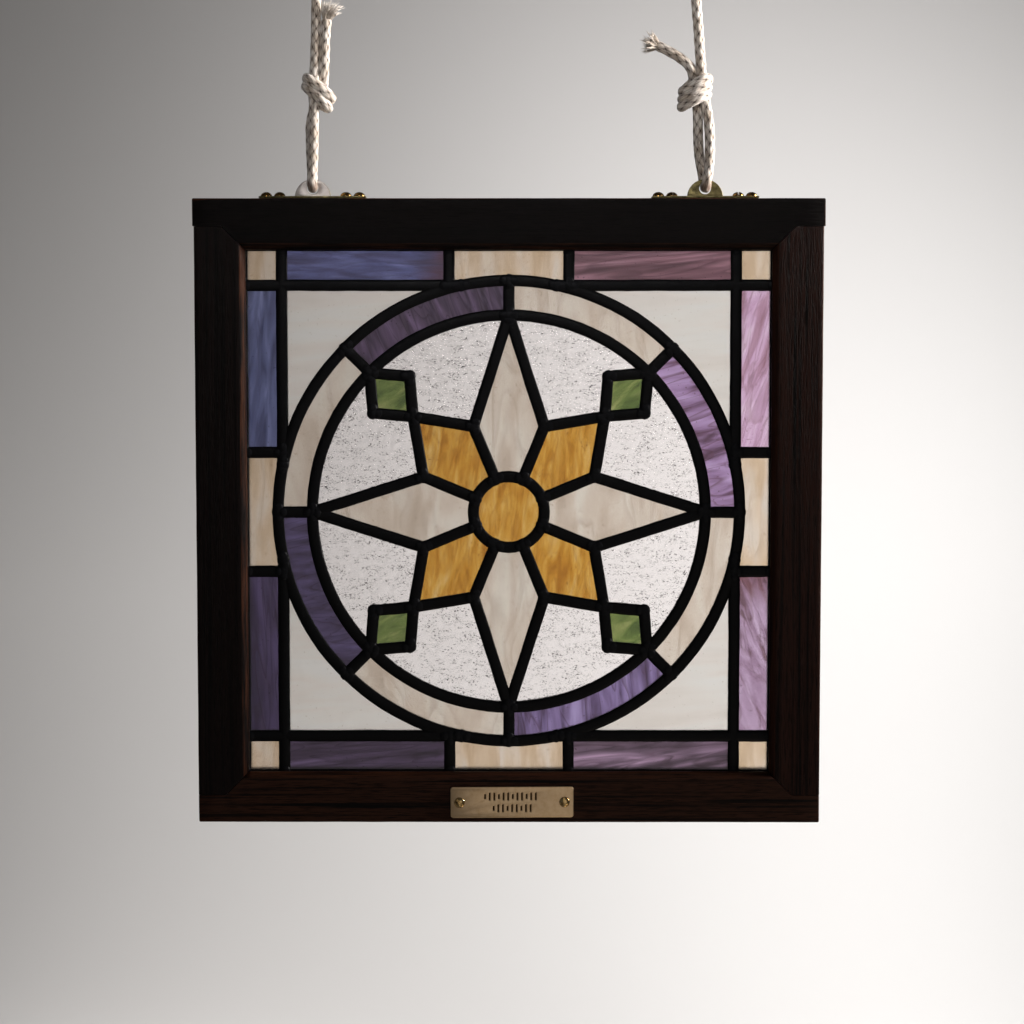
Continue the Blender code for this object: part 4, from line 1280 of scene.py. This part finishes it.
def makeHangers():
    # The left one's eye faces are a polished metal whose grey is painted reflection of the pale wall, and the
    # right one is brass gone dull like the straps
    s = hangerSetup
    brass = brassMaterial("tarnished_brass", brassSetup["hanger"])
    eyeReflectionGrey = brassMaterial("left_eye_painted_reflection", brassSetup["eyeReflectionGrey"])
    screw = brassMaterial("hanger_screw_brass", brassSetup["oldScrew"])
    rng = random.Random(3)
    for name in ("left_hanger", "right_hanger"):
        low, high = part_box(name)
        middle = Vector(((low.x + high.x) / 2, (low.y + high.y) / 2, low.z + s["strapThick"] / 2))
        bm = bmesh.new()
        bmesh.ops.create_cube(bm, size=1)
        bmesh.ops.scale(bm, verts=bm.verts, vec=(high.x - low.x, high.y - low.y, s["strapThick"]))
        bmesh.ops.bevel(
            bm, geom=bm.edges[:], offset=s["rounding"], offset_type="OFFSET", segments=2,
            profile=0.5, affect="EDGES", clamp_overlap=True, material=-1,
        )
        bmesh.ops.translate(bm, verts=bm.verts, vec=middle)
        lean = math.asin((s["gap"] - s["eyeRise"] + s["strapThick"] / 2) / s["eyeRadius"])
        eye = sheetPart(
            [circle(s["eyeRadius"], s["eyeRise"], 40, lean, math.pi - 2 * lean),
             circle(s["holeRadius"], s["holeRise"], 32)], s["eyeThick"], s["rounding"])
        bmesh.ops.translate(eye, verts=eye.verts, vec=(middle.x, middle.y, frameTop))
        for face in eye.faces:  # its cut rim is as dull as the strap
            face.material_index = 1 if abs(face.normal.y) > 0.9 and name == "left_hanger" else 0
        pour(bm, eye)
        piece = addPiece(name + "_strap", bm, brass, 40)
        piece.data.materials.append(eyeReflectionGrey)
        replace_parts(piece, name)
        for k, off in enumerate(s["screws"]):
            head = slottedHead(s)
            bmesh.ops.rotate(head, verts=head.verts,
                             matrix=Matrix.Rotation(rng.uniform(0, math.pi), 3, "Z"))
            bmesh.ops.translate(
                head, verts=head.verts, vec=(middle.x + off, middle.y, low.z + s["strapThick"]))
            addPiece(f"{name}_screw_{k + 1}", head, screw, 40)


plateSetup = {
    "width": 0.0695,
    "height": 0.0178,
    "thick": 0.001,
    "corner": 0.0018,
    "tilt": 0.4,
    "rounding": 0.0004,
    "cutDepth": 0.00045,
    "coreInset": 0.0004,
    "seam": 0.0001,
    "strokeHeight": 0.0042,
    "strokeWidth": 0.0007,
    "strokePitch": 0.0026,
    "shortStroke": 0.6,
    "rows": ((0.0304, -0.0009, 0.0033), (0.0219, 0.0, -0.0034)),  # length, shift and rise
    "slot": 0.0006,
    "slotFloor": 0.3,
    "screwSpacing": 0.0592,
    "screwTurns": (0.7, 0.1),
    "headRadius": 0.003,
    "headHeight": 0.0013,
}


def strokeOutlines(s):
    # Two rows of plain upright strokes stand where the title was stamped
    found = []
    for length, shift, rise in s["rows"]:
        count = int(length / s["strokePitch"]) + 1
        for k in range(count):
            x = shift + (k - (count - 1) / 2) * s["strokePitch"]
            tall = s["strokeHeight"] * (1 if k % 3 else s["shortStroke"]) / 2
            half = s["strokeWidth"] / 2
            found.append([(x - half, rise - tall), (x + half, rise - tall), (x + half, rise + tall),
                          (x - half, rise + tall)])
    return found


def roundedOutline(s, inset=0.0):
    width, height, radius = s["width"] / 2 - inset, s["height"] / 2 - inset, s["corner"]
    found = []
    for k, (sx, sz) in enumerate(((1, 1), (-1, 1), (-1, -1), (1, -1))):
        arc = circle(radius, 0.0, 7, k * math.pi / 2, math.pi / 2)
        found += [(x + sx * (width - radius), z + sz * (height - radius)) for x, z in arc]
    return found


def makePlate():
    # The face with its stamped strokes lies on a darker core that shows through them
    s = plateSetup
    low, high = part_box("title_plate")
    middle = Vector(((low.x + high.x) / 2, high.y, (low.z + high.z) / 2))
    tilt = Matrix.Rotation(-math.radians(s["tilt"]), 3, "Y")
    brass = brassMaterial("satin_brass", brassSetup["plate"])
    dark = brassMaterial("stamped_brass", brassSetup["stamped"])
    core = sheetPart([roundedOutline(s, s["coreInset"])], s["thick"] - s["cutDepth"], s["seam"])
    bmesh.ops.translate(core, verts=core.verts, vec=(0, -(s["thick"] - s["cutDepth"]) / 2, 0))
    for face in core.faces:
        face.material_index = 1 if face.normal.y < -0.9 else 0
    skin = sheetPart([roundedOutline(s), *strokeOutlines(s)], s["thick"] - s["seam"], s["rounding"])
    bmesh.ops.translate(skin, verts=skin.verts, vec=(0, -(s["thick"] + s["seam"]) / 2, 0))
    pour(core, skin)
    bmesh.ops.rotate(core, verts=core.verts, matrix=tilt)
    bmesh.ops.translate(core, verts=core.verts, vec=middle)
    piece = addPiece("title_plate_stamped", core, brass, 40)
    piece.data.materials.append(dark)
    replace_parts(piece, "title_plate")
    screw = brassMaterial("plate_screw_brass", brassSetup["screw"])
    for k, side in enumerate((-1, 1)):
        head = slottedHead(s)
        for axis, turn in (("Z", s["screwTurns"][k]), ("X", math.pi / 2)):
            bmesh.ops.rotate(head, verts=head.verts, matrix=Matrix.Rotation(turn, 3, axis))
        spot = tilt @ Vector((side * s["screwSpacing"] / 2, -s["thick"], 0))
        bmesh.ops.translate(head, verts=head.verts, vec=middle + spot)
        addPiece(f"plate_screw_{k + 1}", head, screw, 40)


makeCamera(cameraSetup)
makeStage(stageSetup)
makeLamps(lampSetup)
print("camera, stage and lamps are in place")
makeCords()
print("cords are tied")
makeFrame()
print("frame is joined")
makeLead()
makeGlass()
print("glass is set")
makeHangers()
makePlate()
print("brass is fixed")
